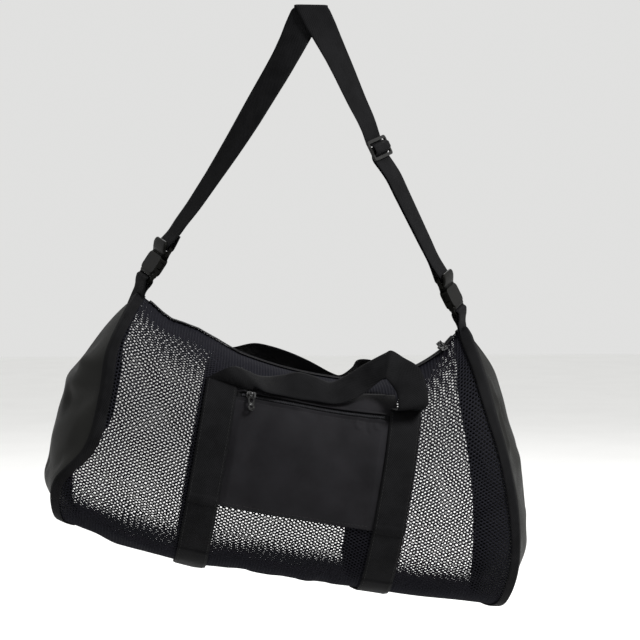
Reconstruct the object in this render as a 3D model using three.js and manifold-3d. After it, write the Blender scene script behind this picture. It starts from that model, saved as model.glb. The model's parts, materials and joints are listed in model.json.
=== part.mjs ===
// A mesh gym bag that hangs by its shoulder strap.
// Millimetres, +Z up, the pocket side faces -Y. The origin is inside the fold where the strap hangs.

import * as THREE from 'three';
import { mergeVertices } from 'three/addons/utils/BufferGeometryUtils.js';
import Module from 'manifold-3d';

const wasm = await Module();
wasm.setup();

// Placing of the bag below the hang point: its right end hangs lower
const TILT = THREE.MathUtils.degToRad(10);
const BAG_PLACE = new THREE.Vector3(-49, 0, -715);

// Cloth, webbing and clearances
const WALL = 1.6;
const GAP = 0.4;
const SKIN_LIFT = 0.6;
const WEB_WIDTH = 38;
const WEB_THICK = 1.8;

// Fineness of the drawing
const WELD = 1e-4;
const SLOPE_REACH = 4;
const LINE_CLEAR = 0.05;
const ROD_SIDES = 12;
const CORNER_STEPS = 3;
const POCKET_STEPS = 8;

// The wrap is drawn by eight lines along the bag, from the zip ridge to the bottom.
// Each table holds where those lines are at one section: along the bag, out from the middle plane, and up.
// bend says how late a line leaves its middle height on the way to the seams.
const LEFT_SEAM = [
  { line: 'ridge', along: -225, depth: 9, height: 314, bend: 2 },
  { line: 'slope', along: -233, depth: 46, height: 292, bend: 2 },
  { line: 'shoulder', along: -243, depth: 88, height: 248, bend: 2 },
  { line: 'upper', along: -241, depth: 112, height: 197, bend: 2 },
  { line: 'belly', along: -247, depth: 124, height: 135, bend: 2 },
  { line: 'low', along: -279, depth: 116, height: 84, bend: 2 },
  { line: 'corner', along: -275, depth: 86, height: 43, bend: 2.5 },
  { line: 'bottom', along: -262, depth: 36, height: 27, bend: 2.5 },
];
const MIDDLE = [
  { line: 'ridge', along: 14, depth: 9, height: 255 },
  { line: 'slope', along: 12, depth: 60, height: 249 },
  { line: 'shoulder', along: 10, depth: 106, height: 229 },
  { line: 'upper', along: 10, depth: 128, height: 188 },
  { line: 'belly', along: 10, depth: 136, height: 125 },
  { line: 'low', along: 10, depth: 131, height: 66 },
  { line: 'corner', along: 10, depth: 106, height: 20 },
  { line: 'bottom', along: 10, depth: 45, height: 4 },
];
const RIGHT_SEAM = [
  { line: 'ridge', along: 187, depth: 9, height: 340, bend: 2.8 },
  { line: 'slope', along: 200, depth: 46, height: 310, bend: 2.5 },
  { line: 'shoulder', along: 219, depth: 90, height: 256, bend: 2.2 },
  { line: 'upper', along: 243, depth: 114, height: 199, bend: 2 },
  { line: 'belly', along: 266, depth: 126, height: 132, bend: 2 },
  { line: 'low', along: 278, depth: 120, height: 70, bend: 2 },
  { line: 'corner', along: 278, depth: 92, height: 25, bend: 2 },
  { line: 'bottom', along: 270, depth: 38, height: 10, bend: 2 },
];
const BACK_RATIO = 0.9;
const STEPS_PER_LINE = 3;
const STEPS_ALONG = 16;

// End panels: domed cloth whose rings shrink towards the tip
const PANEL_THICK = 2;
const PANEL_DOME = 2.4;
const PANEL_RINGS = [1, 0.94, 0.8, 0.6, 0.35, 0];
const ENDS = {
  left: { seam: LEFT_SEAM, outward: -1, tip: new THREE.Vector3(-300, 0, 114) },
  right: { seam: RIGHT_SEAM, outward: 1, tip: new THREE.Vector3(301, 0, 128) },
};
const BINDING = { reach: 9, lift: 1.1, thick: 1.4 };

// Lines of the pocket and bands, counted in table rows from the front ridge
const LAST_LINE = 2 * MIDDLE.length - 1;
const BOTTOM_MIDDLE = LAST_LINE / 2;
const BAND = { left: -108, right: 116, top: 2, lift: SKIN_LIFT + WEB_THICK / 2, bottomGap: 0.02 };
const POCKET = {
  top: 1.72,
  zip: 2.26,
  zipHalf: 0.09,
  bottom: 4.57,
  lift: 1.6,
  thick: 1.2,
  puff: 5,
  sideGap: 0.5,
};
const POCKET_ZIP = {
  tapeHalf: 0.2,
  tapeThick: 0.6,
  coilHalf: 0.05,
  coilThick: 1.8,
  endInset: 6,
  sliderAlong: -72,
};
const TOP_ZIP = {
  from: -212,
  to: 176,
  tapeWidth: 26,
  tapeThick: 0.8,
  coilWidth: 5,
  coilThick: 1.8,
  sliderAlong: 167,
  pullDroop: THREE.MathUtils.degToRad(24),
};

// The free arch of each handle, from the left band to the right one.
// turn is the heading: 0 up, 90 to the right, 180 down. lean tips the webbing out of the upright.
const HANDLE_FRONT_ARCH = [
  { along: -98, out: -113, up: 250, turn: 40, lean: -30, width: 30 },
  { along: -62, out: -108, up: 246, turn: 92, lean: -50, width: 32 },
  { along: -11, out: -106, up: 242, turn: 88, lean: -36, width: 38 },
  { along: 25, out: -103, up: 243, turn: 82, lean: -34, width: 38 },
  { along: 52, out: -95, up: 258, turn: 54, lean: -24, width: 36 },
  { along: 82, out: -88, up: 284, turn: 86, lean: -10, width: 34 },
  { along: 106, out: -97, up: 277, turn: 136, lean: -8, width: 32 },
  { along: 116, out: -108, up: 256, turn: 170, lean: -5, width: 36 },
];
const HANDLE_BACK_ARCH = [
  { along: -106, out: 99, up: 252, turn: 20, lean: 20, width: 34 },
  { along: -84, out: 76, up: 268, turn: 72, lean: 45, width: 34 },
  { along: -50, out: 63, up: 268, turn: 94, lean: 52, width: 36 },
  { along: 0, out: 57, up: 264, turn: 98, lean: 60, width: 38 },
  { along: 38, out: 57, up: 261, turn: 86, lean: 70, width: 38 },
  { along: 66, out: 62, up: 268, turn: 76, lean: 55, width: 36 },
  { along: 92, out: 74, up: 270, turn: 110, lean: 45, width: 34 },
  { along: 113, out: 96, up: 255, turn: 160, lean: 20, width: 34 },
];
const ARCH_STEPS = 4;

// The two runs of the shoulder strap, from the fold to the bar of each buckle
const FOLD = { inner: 1.5, near: 6, spread: 60, apart: 70, steps: 8 };
const RUN_STEP = 24;
const TWIST_LEFT = [
  { at: 0, degrees: 10 },
  { at: 0.2, degrees: 30 },
  { at: 0.45, degrees: 40 },
  { at: 0.7, degrees: 56 },
  { at: 1, degrees: 67 },
];
const TWIST_RIGHT = [
  { at: 0, degrees: 10 },
  { at: 0.2, degrees: 33 },
  { at: 0.45, degrees: 49 },
  { at: 0.7, degrees: 54 },
  { at: 1, degrees: 62 },
];
const LEFT_BOW = 7;
const RIGHT_BOW = 0;
const LEFT_BAR = new THREE.Vector3(-183, 0, -302);
const RIGHT_BAR = new THREE.Vector3(168, 0, -342);
const SLIDER_AT = 198;
const SLIDER_REACH = { above: 64, below: 40 };
const LAYER = 1.15;
const BAR_TURN = { radius: 4.3, steps: 6, blend: 25, start: 2 };
const SEWN_END = { length: 32, blend: 16 };

// Strap slider, in its own plane
const SLIDER = { width: 46, length: 27, rail: 4, side: 3, bar: 4.5, thick: 3, barThick: 2.6, corner: 4 };
const SLOT_CORNER = 1.5;

// Side release buckle: plug above, socket below, measured from the strap's bar to the tab's bar
const BUCKLE = {
  barToBar: 49,
  width: 45,
  rail: 4,
  slot: 8,
  slotWidth: 39.4,
  corner: 6,
  plugThick: 4.4,
  socketThick: 10.5,
  cavity: { width: 37, depth: 20, thick: 5.2 },
  window: { from: 6, to: 16 },
  arm: { width: 5, pad: 3.4, clear: 0.6, short: 2 },
  tongue: 8,
  root: 1,
  leanLeft: 33,
  leanRight: 27,
};

// Webbing tabs from buckle to bag: the outer leg is sewn to the end panel, the inner one ends over the ridge
const TAB = { radius: 4.9, inset: 6, insideLift: 4, clear: 0.7, endRing: 0.87, endLift: 4.8 };

// Zip sliders and pulls, measured along the zip, across it and out from the cloth
const ZIP_SLIDER = {
  seat: 0.3,
  along: 11,
  across: 9,
  thick: 2.4,
  corner: 2,
  pinHeight: 3.4,
  pin: 1.7,
  ear: 1.4,
  earGap: 4.6,
  earRadius: 1.9,
};
const ZIP_PULL = {
  length: 23,
  width: 9,
  thick: 1.6,
  corner: 2.5,
  neck: 5,
  eyeWidth: 3.8,
  eyeOuter: 1.9,
  eyeInner: 1.25,
};

// Colours
const MESH_CLOTH = new THREE.MeshStandardMaterial({ color: 0x17171a, roughness: 0.85, metalness: 0 });
const COATED_CLOTH = new THREE.MeshStandardMaterial({ color: 0x1c1c1e, roughness: 0.55, metalness: 0 });
const POCKET_CLOTH = new THREE.MeshStandardMaterial({ color: 0x222125, roughness: 0.8, metalness: 0 });
const WEBBING = new THREE.MeshStandardMaterial({ color: 0x121214, roughness: 0.75, metalness: 0 });
const ZIP_COIL = new THREE.MeshStandardMaterial({ color: 0x101012, roughness: 0.5, metalness: 0 });
const PLASTIC = new THREE.MeshStandardMaterial({ color: 0x1e1f1e, roughness: 0.4, metalness: 0 });
const PAINTED_METAL = new THREE.MeshStandardMaterial({ color: 0x141415, roughness: 0.35, metalness: 0.6 });

// Small helpers

function vec(x, y, z) {
  return new THREE.Vector3(x, y, z);
}

function mix(a, b, t) {
  return a + (b - a) * t;
}

function smooth(t) {
  return THREE.MathUtils.smoothstep(t, 0, 1);
}

function range(from, to, steps) {
  return Array.from({ length: steps + 1 }, (_, i) => mix(from, to, i / steps));
}

function tableValue(rows, at, key) {
  const next = Math.max(1, rows.findIndex((row) => row.at >= at));
  const a = rows[next - 1];
  const b = rows[next];
  return mix(a[key], b[key], (at - a.at) / (b.at - a.at));
}

// A closed solid between two grids of points, with walls round its edge.
// wrap joins the last column to the first.
function sheetSolid(outer, inner, wrap = false) {
  const triangles = [];
  const rows = outer.length;
  const columns = outer[0].length;
  const last = columns - 1;
  const lastColumn = wrap ? columns : last;

  function quad(a, b, c, d) {
    for (const triangle of [[a, b, c], [a, c, d]]) {
      const [p, q, r] = triangle;
      const flat = p.distanceTo(q) < WELD || q.distanceTo(r) < WELD || r.distanceTo(p) < WELD;
      if (!flat) triangles.push(triangle);
    }
  }

  for (let i = 0; i < rows - 1; i += 1) {
    for (let j = 0; j < lastColumn; j += 1) {
      const k = (j + 1) % columns;
      quad(outer[i][j], outer[i][k], outer[i + 1][k], outer[i + 1][j]);
      quad(inner[i][j], inner[i + 1][j], inner[i + 1][k], inner[i][k]);
    }
  }
  for (let j = 0; j < lastColumn; j += 1) {
    const k = (j + 1) % columns;
    quad(outer[0][j], inner[0][j], inner[0][k], outer[0][k]);
    quad(outer[rows - 1][j], outer[rows - 1][k], inner[rows - 1][k], inner[rows - 1][j]);
  }
  if (!wrap) {
    for (let i = 0; i < rows - 1; i += 1) {
      quad(outer[i][0], outer[i + 1][0], inner[i + 1][0], inner[i][0]);
      quad(outer[i][last], inner[i][last], inner[i + 1][last], outer[i + 1][last]);
    }
  }
  return closedGeometry(triangles);
}

// One geometry from triangles, turned so that its faces point out
function closedGeometry(triangles) {
  let volume = 0;
  for (const [a, b, c] of triangles) {
    volume += a.dot(vec(0, 0, 0).crossVectors(b, c));
  }
  const ordered = volume > 0 ? triangles : triangles.map(([a, b, c]) => [a, c, b]);
  const positions = ordered.flat().flatMap((p) => [p.x, p.y, p.z]);
  const geometry = new THREE.BufferGeometry();
  geometry.setAttribute('position', new THREE.Float32BufferAttribute(positions, 3));
  return mergeVertices(geometry, WELD);
}

// A flat strip through stations, each with its centre and its half width as a vector
function ribbon(stations, thick) {
  const outer = [];
  const inner = [];
  stations.forEach(({ centre, side }, i) => {
    const before = stations[Math.max(0, i - 1)].centre;
    const after = stations[Math.min(stations.length - 1, i + 1)].centre;
    const normal = side.clone().cross(after.clone().sub(before)).setLength(thick / 2);
    outer.push([centre.clone().sub(side).add(normal), centre.clone().add(side).add(normal)]);
    inner.push([centre.clone().sub(side).sub(normal), centre.clone().add(side).sub(normal)]);
  });
  return sheetSolid(outer, inner);
}

// Cuts and joins

function solidOf(geometry) {
  const bare = geometry.clone();
  bare.deleteAttribute('normal');
  bare.deleteAttribute('uv');
  const merged = mergeVertices(bare, WELD);
  const vertProperties = new Float32Array(merged.attributes.position.array);
  const triVerts = new Uint32Array(merged.index.array);
  return new wasm.Manifold(new wasm.Mesh({ numProp: 3, vertProperties, triVerts }));
}

function geometryOf(solid) {
  const { vertProperties, triVerts } = solid.getMesh();
  const geometry = new THREE.BufferGeometry();
  geometry.setAttribute('position', new THREE.Float32BufferAttribute(vertProperties, 3));
  geometry.setIndex(new THREE.Uint32BufferAttribute(triVerts, 1));
  return geometry;
}

function join(geometries) {
  return geometryOf(geometries.map(solidOf).reduce((whole, next) => whole.add(next)));
}

function cut(geometry, tools) {
  return geometryOf(tools.map(solidOf).reduce((left, tool) => left.subtract(tool), solidOf(geometry)));
}

function mesh(name, geometry, material) {
  const piece = new THREE.Mesh(geometry, material);
  piece.name = name;
  return piece;
}

// The skin of the bag

function sectionPoints(rows) {
  const front = rows.map((row) => vec(row.along, -row.depth, row.height));
  const back = rows.map((row) => vec(row.along, row.depth * BACK_RATIO, row.height)).reverse();
  return new THREE.CatmullRomCurve3([...front, ...back]).getPoints(LAST_LINE * STEPS_PER_LINE);
}

const SECTIONS = {
  left: sectionPoints(LEFT_SEAM),
  middle: sectionPoints(MIDDLE),
  right: sectionPoints(RIGHT_SEAM),
};
const LINES = range(0, LAST_LINE, LAST_LINE * STEPS_PER_LINE);

function onSection(points, line) {
  const at = THREE.MathUtils.clamp(line * STEPS_PER_LINE, 0, points.length - 1);
  const start = Math.min(Math.floor(at), points.length - 2);
  return points[start].clone().lerp(points[start + 1], at - start);
}

function bendAt(rows, line) {
  const row = Math.min(line, LAST_LINE - line);
  const start = Math.floor(row);
  const next = Math.min(start + 1, rows.length - 1);
  return mix(rows[start].bend, rows[next].bend, row - start);
}

// Outer face of the wrap at a place along the bag, on a line from front ridge to back ridge
function skin(along, line) {
  const middle = onSection(SECTIONS.middle, line);
  const side = along < middle.x ? 'left' : 'right';
  const end = onSection(SECTIONS[side], line);
  const share = Math.abs((along - middle.x) / (end.x - middle.x)) ** bendAt(ENDS[side].seam, line);
  return vec(along, mix(middle.y, end.y, share), mix(middle.z, end.z, share));
}

function skinDown(along, line) {
  const step = 0.5 / STEPS_PER_LINE;
  const before = skin(along, Math.max(0, line - step));
  return skin(along, Math.min(LAST_LINE, line + step)).sub(before).normalize();
}

function lifted(along, line, lift) {
  const run = skin(along + SLOPE_REACH, line).sub(skin(along - SLOPE_REACH, line));
  const normal = skinDown(along, line).cross(run).setLength(lift === 0 ? 0 : Math.abs(lift));
  return skin(along, line).addScaledVector(normal, Math.sign(lift));
}

// A cloth panel on the skin, with its lift given by a function of its two shares
function skinPanel(alongs, lines, thick, lift) {
  const grid = (extra) => alongs.map((along, i) => lines.map((line, j) => {
    const height = lift(i / (alongs.length - 1), j / (lines.length - 1));
    return lifted(along, line, height + extra);
  }));
  return sheetSolid(grid(thick), grid(0));
}

// Every drawn line between two places, so that a panel bends where the wrap bends
function linesBetween(from, to) {
  const between = LINES.filter((line) => line > from + LINE_CLEAR && line < to - LINE_CLEAR);
  return [from, ...between, to];
}

function meshBody() {
  const shares = range(-1, 1, STEPS_ALONG);
  const grid = (lift) => shares.map((share) => LINES.map((line) => {
    const middle = onSection(SECTIONS.middle, line);
    const end = onSection(share < 0 ? SECTIONS.left : SECTIONS.right, line);
    return lifted(mix(middle.x, end.x, Math.abs(share)), line, lift);
  }));
  return mesh('mesh_body', sheetSolid(grid(0), grid(-WALL)), MESH_CLOTH);
}

// End panels and the tape over their seams

function panelPoint({ tip, outward }, seamPoint, ring, lift) {
  const point = tip.clone().lerp(seamPoint, ring);
  point.x = mix(tip.x, seamPoint.x, ring ** PANEL_DOME) + outward * lift;
  return point;
}

function endPanel(name, end, seamPoints) {
  const grid = (lift) => PANEL_RINGS.map((ring) => seamPoints.map((p) => panelPoint(end, p, ring, lift)));
  return mesh(name, sheetSolid(grid(GAP + PANEL_THICK), grid(GAP), true), COATED_CLOTH);
}

// The three corners of the tape's section: on the wrap, round the seam, and on the end panel
function bindingProfile(end, seamPoint, line, extra) {
  const lift = BINDING.lift + extra;
  const foot = GAP + PANEL_THICK + lift;
  return [
    lifted(seamPoint.x - end.outward * BINDING.reach, line, lift),
    lifted(seamPoint.x + end.outward * foot, line, lift),
    panelPoint(end, seamPoint, PANEL_RINGS[1], foot),
  ];
}

function seamBinding(name, end, seamPoints) {
  const strip = (extra) => LINES.map((line, i) => bindingProfile(end, seamPoints[i], line, extra));
  return mesh(name, sheetSolid(strip(BINDING.thick), strip(0)), WEBBING);
}

// Zips

function ridge(along, lift) {
  const middle = lifted(along, 0, lift).add(lifted(along, LAST_LINE, lift)).multiplyScalar(0.5);
  return vec(middle.x, 0, middle.z);
}

function ridgeStrip(width, lift) {
  return range(TOP_ZIP.from, TOP_ZIP.to, 2 * STEPS_ALONG).map((along) => ({
    centre: ridge(along, lift),
    side: vec(0, width / 2, 0),
  }));
}

function topZip() {
  const tapeLift = SKIN_LIFT + TOP_ZIP.tapeThick / 2;
  const coilLift = SKIN_LIFT + TOP_ZIP.tapeThick + GAP + TOP_ZIP.coilThick / 2;
  return [
    mesh('top_zip_tape', ribbon(ridgeStrip(TOP_ZIP.tapeWidth, tapeLift), TOP_ZIP.tapeThick), WEBBING),
    mesh('top_zip_coil', ribbon(ridgeStrip(TOP_ZIP.coilWidth, coilLift), TOP_ZIP.coilThick), ZIP_COIL),
  ];
}

// A rounded plate in the plane of its shape, centred through its thickness
function plate(shape, thick) {
  const settings = { depth: thick, bevelEnabled: false, curveSegments: CORNER_STEPS };
  return new THREE.ExtrudeGeometry(shape, settings).translate(0, 0, -thick / 2);
}

function roundedRect(shape, x0, y0, x1, y1, radius) {
  shape.moveTo(x0 + radius, y0);
  shape.lineTo(x1 - radius, y0);
  shape.absarc(x1 - radius, y0 + radius, radius, -Math.PI / 2, 0);
  shape.lineTo(x1, y1 - radius);
  shape.absarc(x1 - radius, y1 - radius, radius, 0, Math.PI / 2);
  shape.lineTo(x0 + radius, y1);
  shape.absarc(x0 + radius, y1 - radius, radius, Math.PI / 2, Math.PI);
  shape.lineTo(x0, y0 + radius);
  shape.absarc(x0 + radius, y0 + radius, radius, Math.PI, Math.PI * 1.5);
  return shape;
}

// A rod along x
function rod(radius, length) {
  return new THREE.CylinderGeometry(radius, radius, length, ROD_SIDES).rotateZ(Math.PI / 2);
}

// The slider rides on the coil, and its two ears hold the pin that the pull turns on
function zipSlider(level) {
  const { along, across, thick, corner, pinHeight, pin, ear, earGap, earRadius } = ZIP_SLIDER;
  const outline = roundedRect(new THREE.Shape(), -along / 2, -across / 2, along / 2, across / 2, corner);
  const body = plate(outline, thick);
  const pieces = [body.translate(0, 0, thick / 2)];
  const pinPlace = thick + pinHeight;
  for (const sideSign of [-1, 1]) {
    const middle = sideSign * (earGap + ear) / 2;
    const post = new THREE.BoxGeometry(ear, 2 * earRadius, pinPlace).translate(middle, 0, pinPlace / 2);
    const round = rod(earRadius, ear).translate(middle, 0, pinPlace);
    pieces.push(post.rotateZ(level), round.rotateZ(level));
  }
  pieces.push(rod(pin / 2, earGap + ear).translate(0, 0, pinPlace).rotateZ(level));
  return join(pieces);
}

// The pull hangs along -y from an eye round the pin, which is its own origin
function zipPull() {
  const { length, width, thick, eyeWidth, eyeOuter, eyeInner, neck, corner } = ZIP_PULL;
  const outline = new THREE.Shape();
  roundedRect(outline, -width / 2, -length, width / 2, -neck, corner);
  const leaf = plate(outline, thick);
  const stem = new THREE.BoxGeometry(eyeWidth, neck, thick).translate(0, -neck / 2 - eyeInner, 0);
  const eye = rod(eyeOuter, eyeWidth);
  return cut(join([leaf, stem, eye]), [rod(eyeInner, 2 * eyeWidth)]);
}

// A slider and its pull: run points along the zip, out away from the cloth, and droop tips the pull down
function zipRunner(prefix, { place, run, out, level, droop }) {
  const across = out.clone().cross(run).normalize();
  const group = new THREE.Group();
  group.setRotationFromMatrix(new THREE.Matrix4().makeBasis(run, across, out));
  group.position.copy(place);
  const pull = mesh(`${prefix}_pull`, zipPull(), PAINTED_METAL);
  pull.position.set(0, 0, ZIP_SLIDER.thick + ZIP_SLIDER.pinHeight);
  pull.rotation.set(droop, 0, level);
  group.add(mesh(`${prefix}_slider`, zipSlider(level), PAINTED_METAL), pull);
  return group;
}

function topZipRunner() {
  const along = TOP_ZIP.sliderAlong;
  const coilTop = SKIN_LIFT + TOP_ZIP.tapeThick + 2 * GAP + TOP_ZIP.coilThick + ZIP_SLIDER.seat;
  const run = ridge(along + SLOPE_REACH, 0).sub(ridge(along - SLOPE_REACH, 0)).normalize();
  const out = run.clone().cross(vec(0, 1, 0));
  return zipRunner('top_zip', { place: ridge(along, coilTop), run, out, level: 0, droop: TOP_ZIP.pullDroop });
}

// Front pocket, sewn between the two bands

function pocketAlongs(inset) {
  const from = BAND.left + WEB_WIDTH / 2 + POCKET.sideGap + inset;
  const to = BAND.right - WEB_WIDTH / 2 - POCKET.sideGap - inset;
  return range(from, to, POCKET_STEPS);
}

function pocket() {
  const { top, zip, zipHalf, bottom, lift, thick, puff } = POCKET;
  const { tapeHalf, tapeThick, coilHalf, coilThick, endInset } = POCKET_ZIP;
  const flat = () => lift;
  const puffed = (i, j) => lift + puff * Math.sin(Math.PI * i) * Math.sin(Math.PI * j);
  const panelLines = linesBetween(zip + zipHalf, bottom);
  const upperLines = linesBetween(top, zip - zipHalf);
  const tapeLines = linesBetween(zip - tapeHalf, zip + tapeHalf);
  const coilLines = [zip - coilHalf, zip + coilHalf];
  const coilLift = () => SKIN_LIFT + tapeThick + GAP;
  return [
    mesh('pocket_panel', skinPanel(pocketAlongs(0), panelLines, thick, puffed), POCKET_CLOTH),
    mesh('pocket_upper', skinPanel(pocketAlongs(0), upperLines, thick, flat), POCKET_CLOTH),
    mesh('pocket_zip_tape', skinPanel(pocketAlongs(0), tapeLines, tapeThick, () => SKIN_LIFT), WEBBING),
    mesh('pocket_zip_coil', skinPanel(pocketAlongs(endInset), coilLines, coilThick, coilLift), ZIP_COIL),
  ];
}

function pocketZipRunner() {
  const along = POCKET_ZIP.sliderAlong;
  const coilTop = SKIN_LIFT + POCKET_ZIP.tapeThick + 2 * GAP + POCKET_ZIP.coilThick;
  const place = lifted(along, POCKET.zip, coilTop);
  const ahead = skin(along + SLOPE_REACH, POCKET.zip);
  const run = ahead.sub(skin(along - SLOPE_REACH, POCKET.zip)).normalize();
  const down = skinDown(along, POCKET.zip);
  const out = down.cross(run).normalize();
  return zipRunner('pocket_zip', { place, run, out, level: TILT, droop: 0 });
}

// Handles: each is one length of webbing, with bands that meet under the bag

function bandStation(along, line, sideSign) {
  const half = WEB_WIDTH / 2;
  const right = lifted(along + half, line, BAND.lift);
  const left = lifted(along - half, line, BAND.lift);
  const side = right.clone().sub(left).multiplyScalar(sideSign / 2);
  return { centre: right.add(left).multiplyScalar(0.5), side };
}

function archStations(rows, first, last) {
  const centres = [first.centre, ...rows.map((row) => vec(row.along, row.out, row.up)), last.centre];
  const spans = centres.length - 1;
  const points = new THREE.CatmullRomCurve3(centres).getPoints(spans * ARCH_STEPS);
  const sides = [first.side, ...rows.map(({ turn, lean, width }) => {
    const heading = THREE.MathUtils.degToRad(turn);
    const tip = THREE.MathUtils.degToRad(lean);
    const across = Math.sin(heading);
    return vec(Math.cos(heading), across * Math.sin(tip), -across * Math.cos(tip)).setLength(width / 2);
  }), last.side];
  return points.slice(1, -1).map((centre, i) => {
    const at = (i + 1) / ARCH_STEPS;
    const start = Math.floor(at);
    const next = Math.min(start + 1, sides.length - 1);
    const length = mix(sides[start].length(), sides[next].length(), at - start);
    return { centre, side: sides[start].clone().lerp(sides[next], at - start).setLength(length) };
  });
}

function handle(name, arch, lines) {
  const leftBand = lines.map((line) => bandStation(BAND.left, line, 1));
  const rightBand = lines.map((line) => bandStation(BAND.right, line, -1)).reverse();
  const free = archStations(arch, leftBand[leftBand.length - 1], rightBand[0]);
  return mesh(name, ribbon([...leftBand, ...free, ...rightBand], WEB_THICK), WEBBING);
}

function handles() {
  const front = linesBetween(BAND.top, BOTTOM_MIDDLE - BAND.bottomGap).reverse();
  const back = linesBetween(BOTTOM_MIDDLE + BAND.bottomGap, LAST_LINE - BAND.top);
  return [handle('handle_front', HANDLE_FRONT_ARCH, front), handle('handle_back', HANDLE_BACK_ARCH, back)];
}

// Shoulder strap: two runs that spread from the fold and twist on their way to the buckles

function strapRun(bar, twist, bow, depthSign) {
  const length = bar.length();
  const axis = bar.clone().normalize();
  const across = vec(-axis.z, 0, axis.x);
  return { bar, length, axis, across, twist, bow, depthSign };
}

const RUNS = {
  left: strapRun(LEFT_BAR, TWIST_LEFT, LEFT_BOW, -1),
  right: strapRun(RIGHT_BAR, TWIST_RIGHT, RIGHT_BOW, 1),
};

function runSide(run, distance) {
  const share = Math.min(1, distance / run.length);
  const twist = THREE.MathUtils.degToRad(tableValue(run.twist, share, 'degrees'));
  const twisted = run.across.clone().multiplyScalar(Math.cos(twist));
  twisted.y = run.depthSign * Math.sin(twist);
  const alongFold = vec(1 / run.across.x, 0, 0);
  return alongFold.lerp(twisted, smooth(distance / FOLD.spread)).multiplyScalar(WEB_WIDTH / 2);
}

function runStation(run, distance, offset) {
  const side = runSide(run, distance);
  const out = run.axis.clone().cross(side).normalize();
  const share = Math.min(1, distance / run.length);
  const centre = run.axis.clone().multiplyScalar(distance).addScaledVector(out, offset);
  centre.addScaledVector(run.across, run.bow * Math.sin(Math.PI * share));
  return { centre, side };
}

// Round the bar at the lower end of a run, from its outer face to its inner one
function barTurn(run) {
  return range(0, Math.PI, BAR_TURN.steps).map((angle) => {
    const distance = run.length + BAR_TURN.radius * Math.sin(angle);
    return runStation(run, distance, BAR_TURN.radius * Math.cos(angle));
  });
}

// The two layers spread from each other as they come to the bar
function layerOffset(run, distance) {
  const spread = smooth(1 - (run.length - distance) / BAR_TURN.blend);
  return mix(LAYER, BAR_TURN.radius, spread);
}

function layer(run, from, to, face) {
  const steps = Math.ceil(Math.abs(to - from) / RUN_STEP);
  const station = (distance) => runStation(run, distance, face * layerOffset(run, distance));
  return range(from, to, steps).map(station);
}

// How the webbing weaves through the slider: places from its middle, and offsets out from the run
const SEWN_LOOP = [
  { from: 0.5, offset: 2.6 },
  { from: -1.8, offset: 2.6 },
  { from: -3.4, offset: 1.8 },
  { from: -3.9, offset: 0 },
  { from: -3.4, offset: -1.8 },
  { from: -1.8, offset: -2.6 },
  { from: 2.5, offset: -2.9 },
  { from: 6, offset: -4.4 },
  { from: 9, offset: -5.6 },
  { from: 14, offset: -5.6 },
  { from: 24, offset: -3.6 },
];
const WEAVE = [
  { from: 24, offset: -1.2 },
  { from: 14, offset: -3.1 },
  { from: 9, offset: -3.4 },
  { from: 4, offset: 4.6 },
  { from: 0, offset: 5 },
  { from: -4, offset: 4.6 },
  { from: -9, offset: -3.4 },
  { from: -14, offset: -3.1 },
  { from: -26, offset: -1.2 },
  { from: -40, offset: 0 },
];

function weave(rows) {
  return rows.map(({ from, offset }) => runStation(RUNS.right, SLIDER_AT + from, offset));
}

function fold() {
  const radius = FOLD.inner + WEB_THICK / 2;
  return range(0, Math.PI, FOLD.steps).map((angle) => ({
    centre: vec(0, -radius * Math.cos(angle), -FOLD.inner + radius * Math.sin(angle)),
    side: vec(WEB_WIDTH / 2 / RUNS.right.across.x, 0, 0),
  }));
}

// Near the fold one run passes in front of the other
function freeRun(run, from, to, face) {
  const radius = FOLD.inner + WEB_THICK / 2;
  const steps = Math.ceil(Math.abs(to - from) / RUN_STEP);
  return range(from, to, steps).map((distance) => {
    const apart = face * radius * (1 - smooth((distance - FOLD.apart) / FOLD.apart));
    return runStation(run, distance, apart);
  });
}

function shoulderStrap() {
  const { left, right } = RUNS;
  const belowSlider = SLIDER_AT + SLIDER_REACH.below;
  const aboveSlider = SLIDER_AT - SLIDER_REACH.above;
  const rightTurn = right.length - BAR_TURN.start;
  const leftTurn = left.length - BAR_TURN.start;
  const sewnFrom = left.length - SEWN_END.length;
  const doubled = sewnFrom - SEWN_END.blend;
  const stations = [
    ...weave(SEWN_LOOP),
    ...layer(right, belowSlider, rightTurn, -1),
    ...barTurn(right).reverse(),
    ...layer(right, rightTurn, belowSlider, 1),
    ...weave(WEAVE),
    ...freeRun(right, aboveSlider, FOLD.near, 1),
    ...fold(),
    ...freeRun(left, FOLD.near, doubled - RUN_STEP, -1),
    ...layer(left, doubled, leftTurn, 1),
    ...barTurn(left),
    ...layer(left, leftTurn, sewnFrom, -1),
  ];
  return mesh('shoulder_strap', ribbon(stations, WEB_THICK), WEBBING);
}

// A group whose x is the width of the webbing, y runs down the strap and z faces out
function runGroup(run, distance, lean) {
  const side = runSide(run, distance).normalize();
  const axis = lean === undefined ? run.axis : vec(Math.sign(run.bar.x) * Math.sin(lean), 0, -Math.cos(lean));
  const out = axis.clone().cross(side).normalize();
  const width = axis.clone().cross(out);
  const group = new THREE.Group();
  group.setRotationFromMatrix(new THREE.Matrix4().makeBasis(width, axis, out));
  group.position.copy(run.axis).multiplyScalar(distance);
  return group;
}

function strapSlider() {
  const { width, length, rail, side, bar, thick, barThick, corner } = SLIDER;
  const outline = roundedRect(new THREE.Shape(), -width / 2, -length / 2, width / 2, length / 2, corner);
  const innerX = width / 2 - side;
  const innerY = length / 2 - rail;
  outline.holes.push(roundedRect(new THREE.Path(), -innerX, -innerY, innerX, innerY, SLOT_CORNER));
  const frame = plate(outline, thick);
  const middleBar = new THREE.BoxGeometry(width - side, bar, barThick);
  const group = runGroup(RUNS.right, SLIDER_AT);
  group.add(mesh('strap_slider', join([frame, middleBar]), PLASTIC));
  return group;
}

// Buckle halves, drawn with the strap's bar at the origin and +y towards the bag

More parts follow.
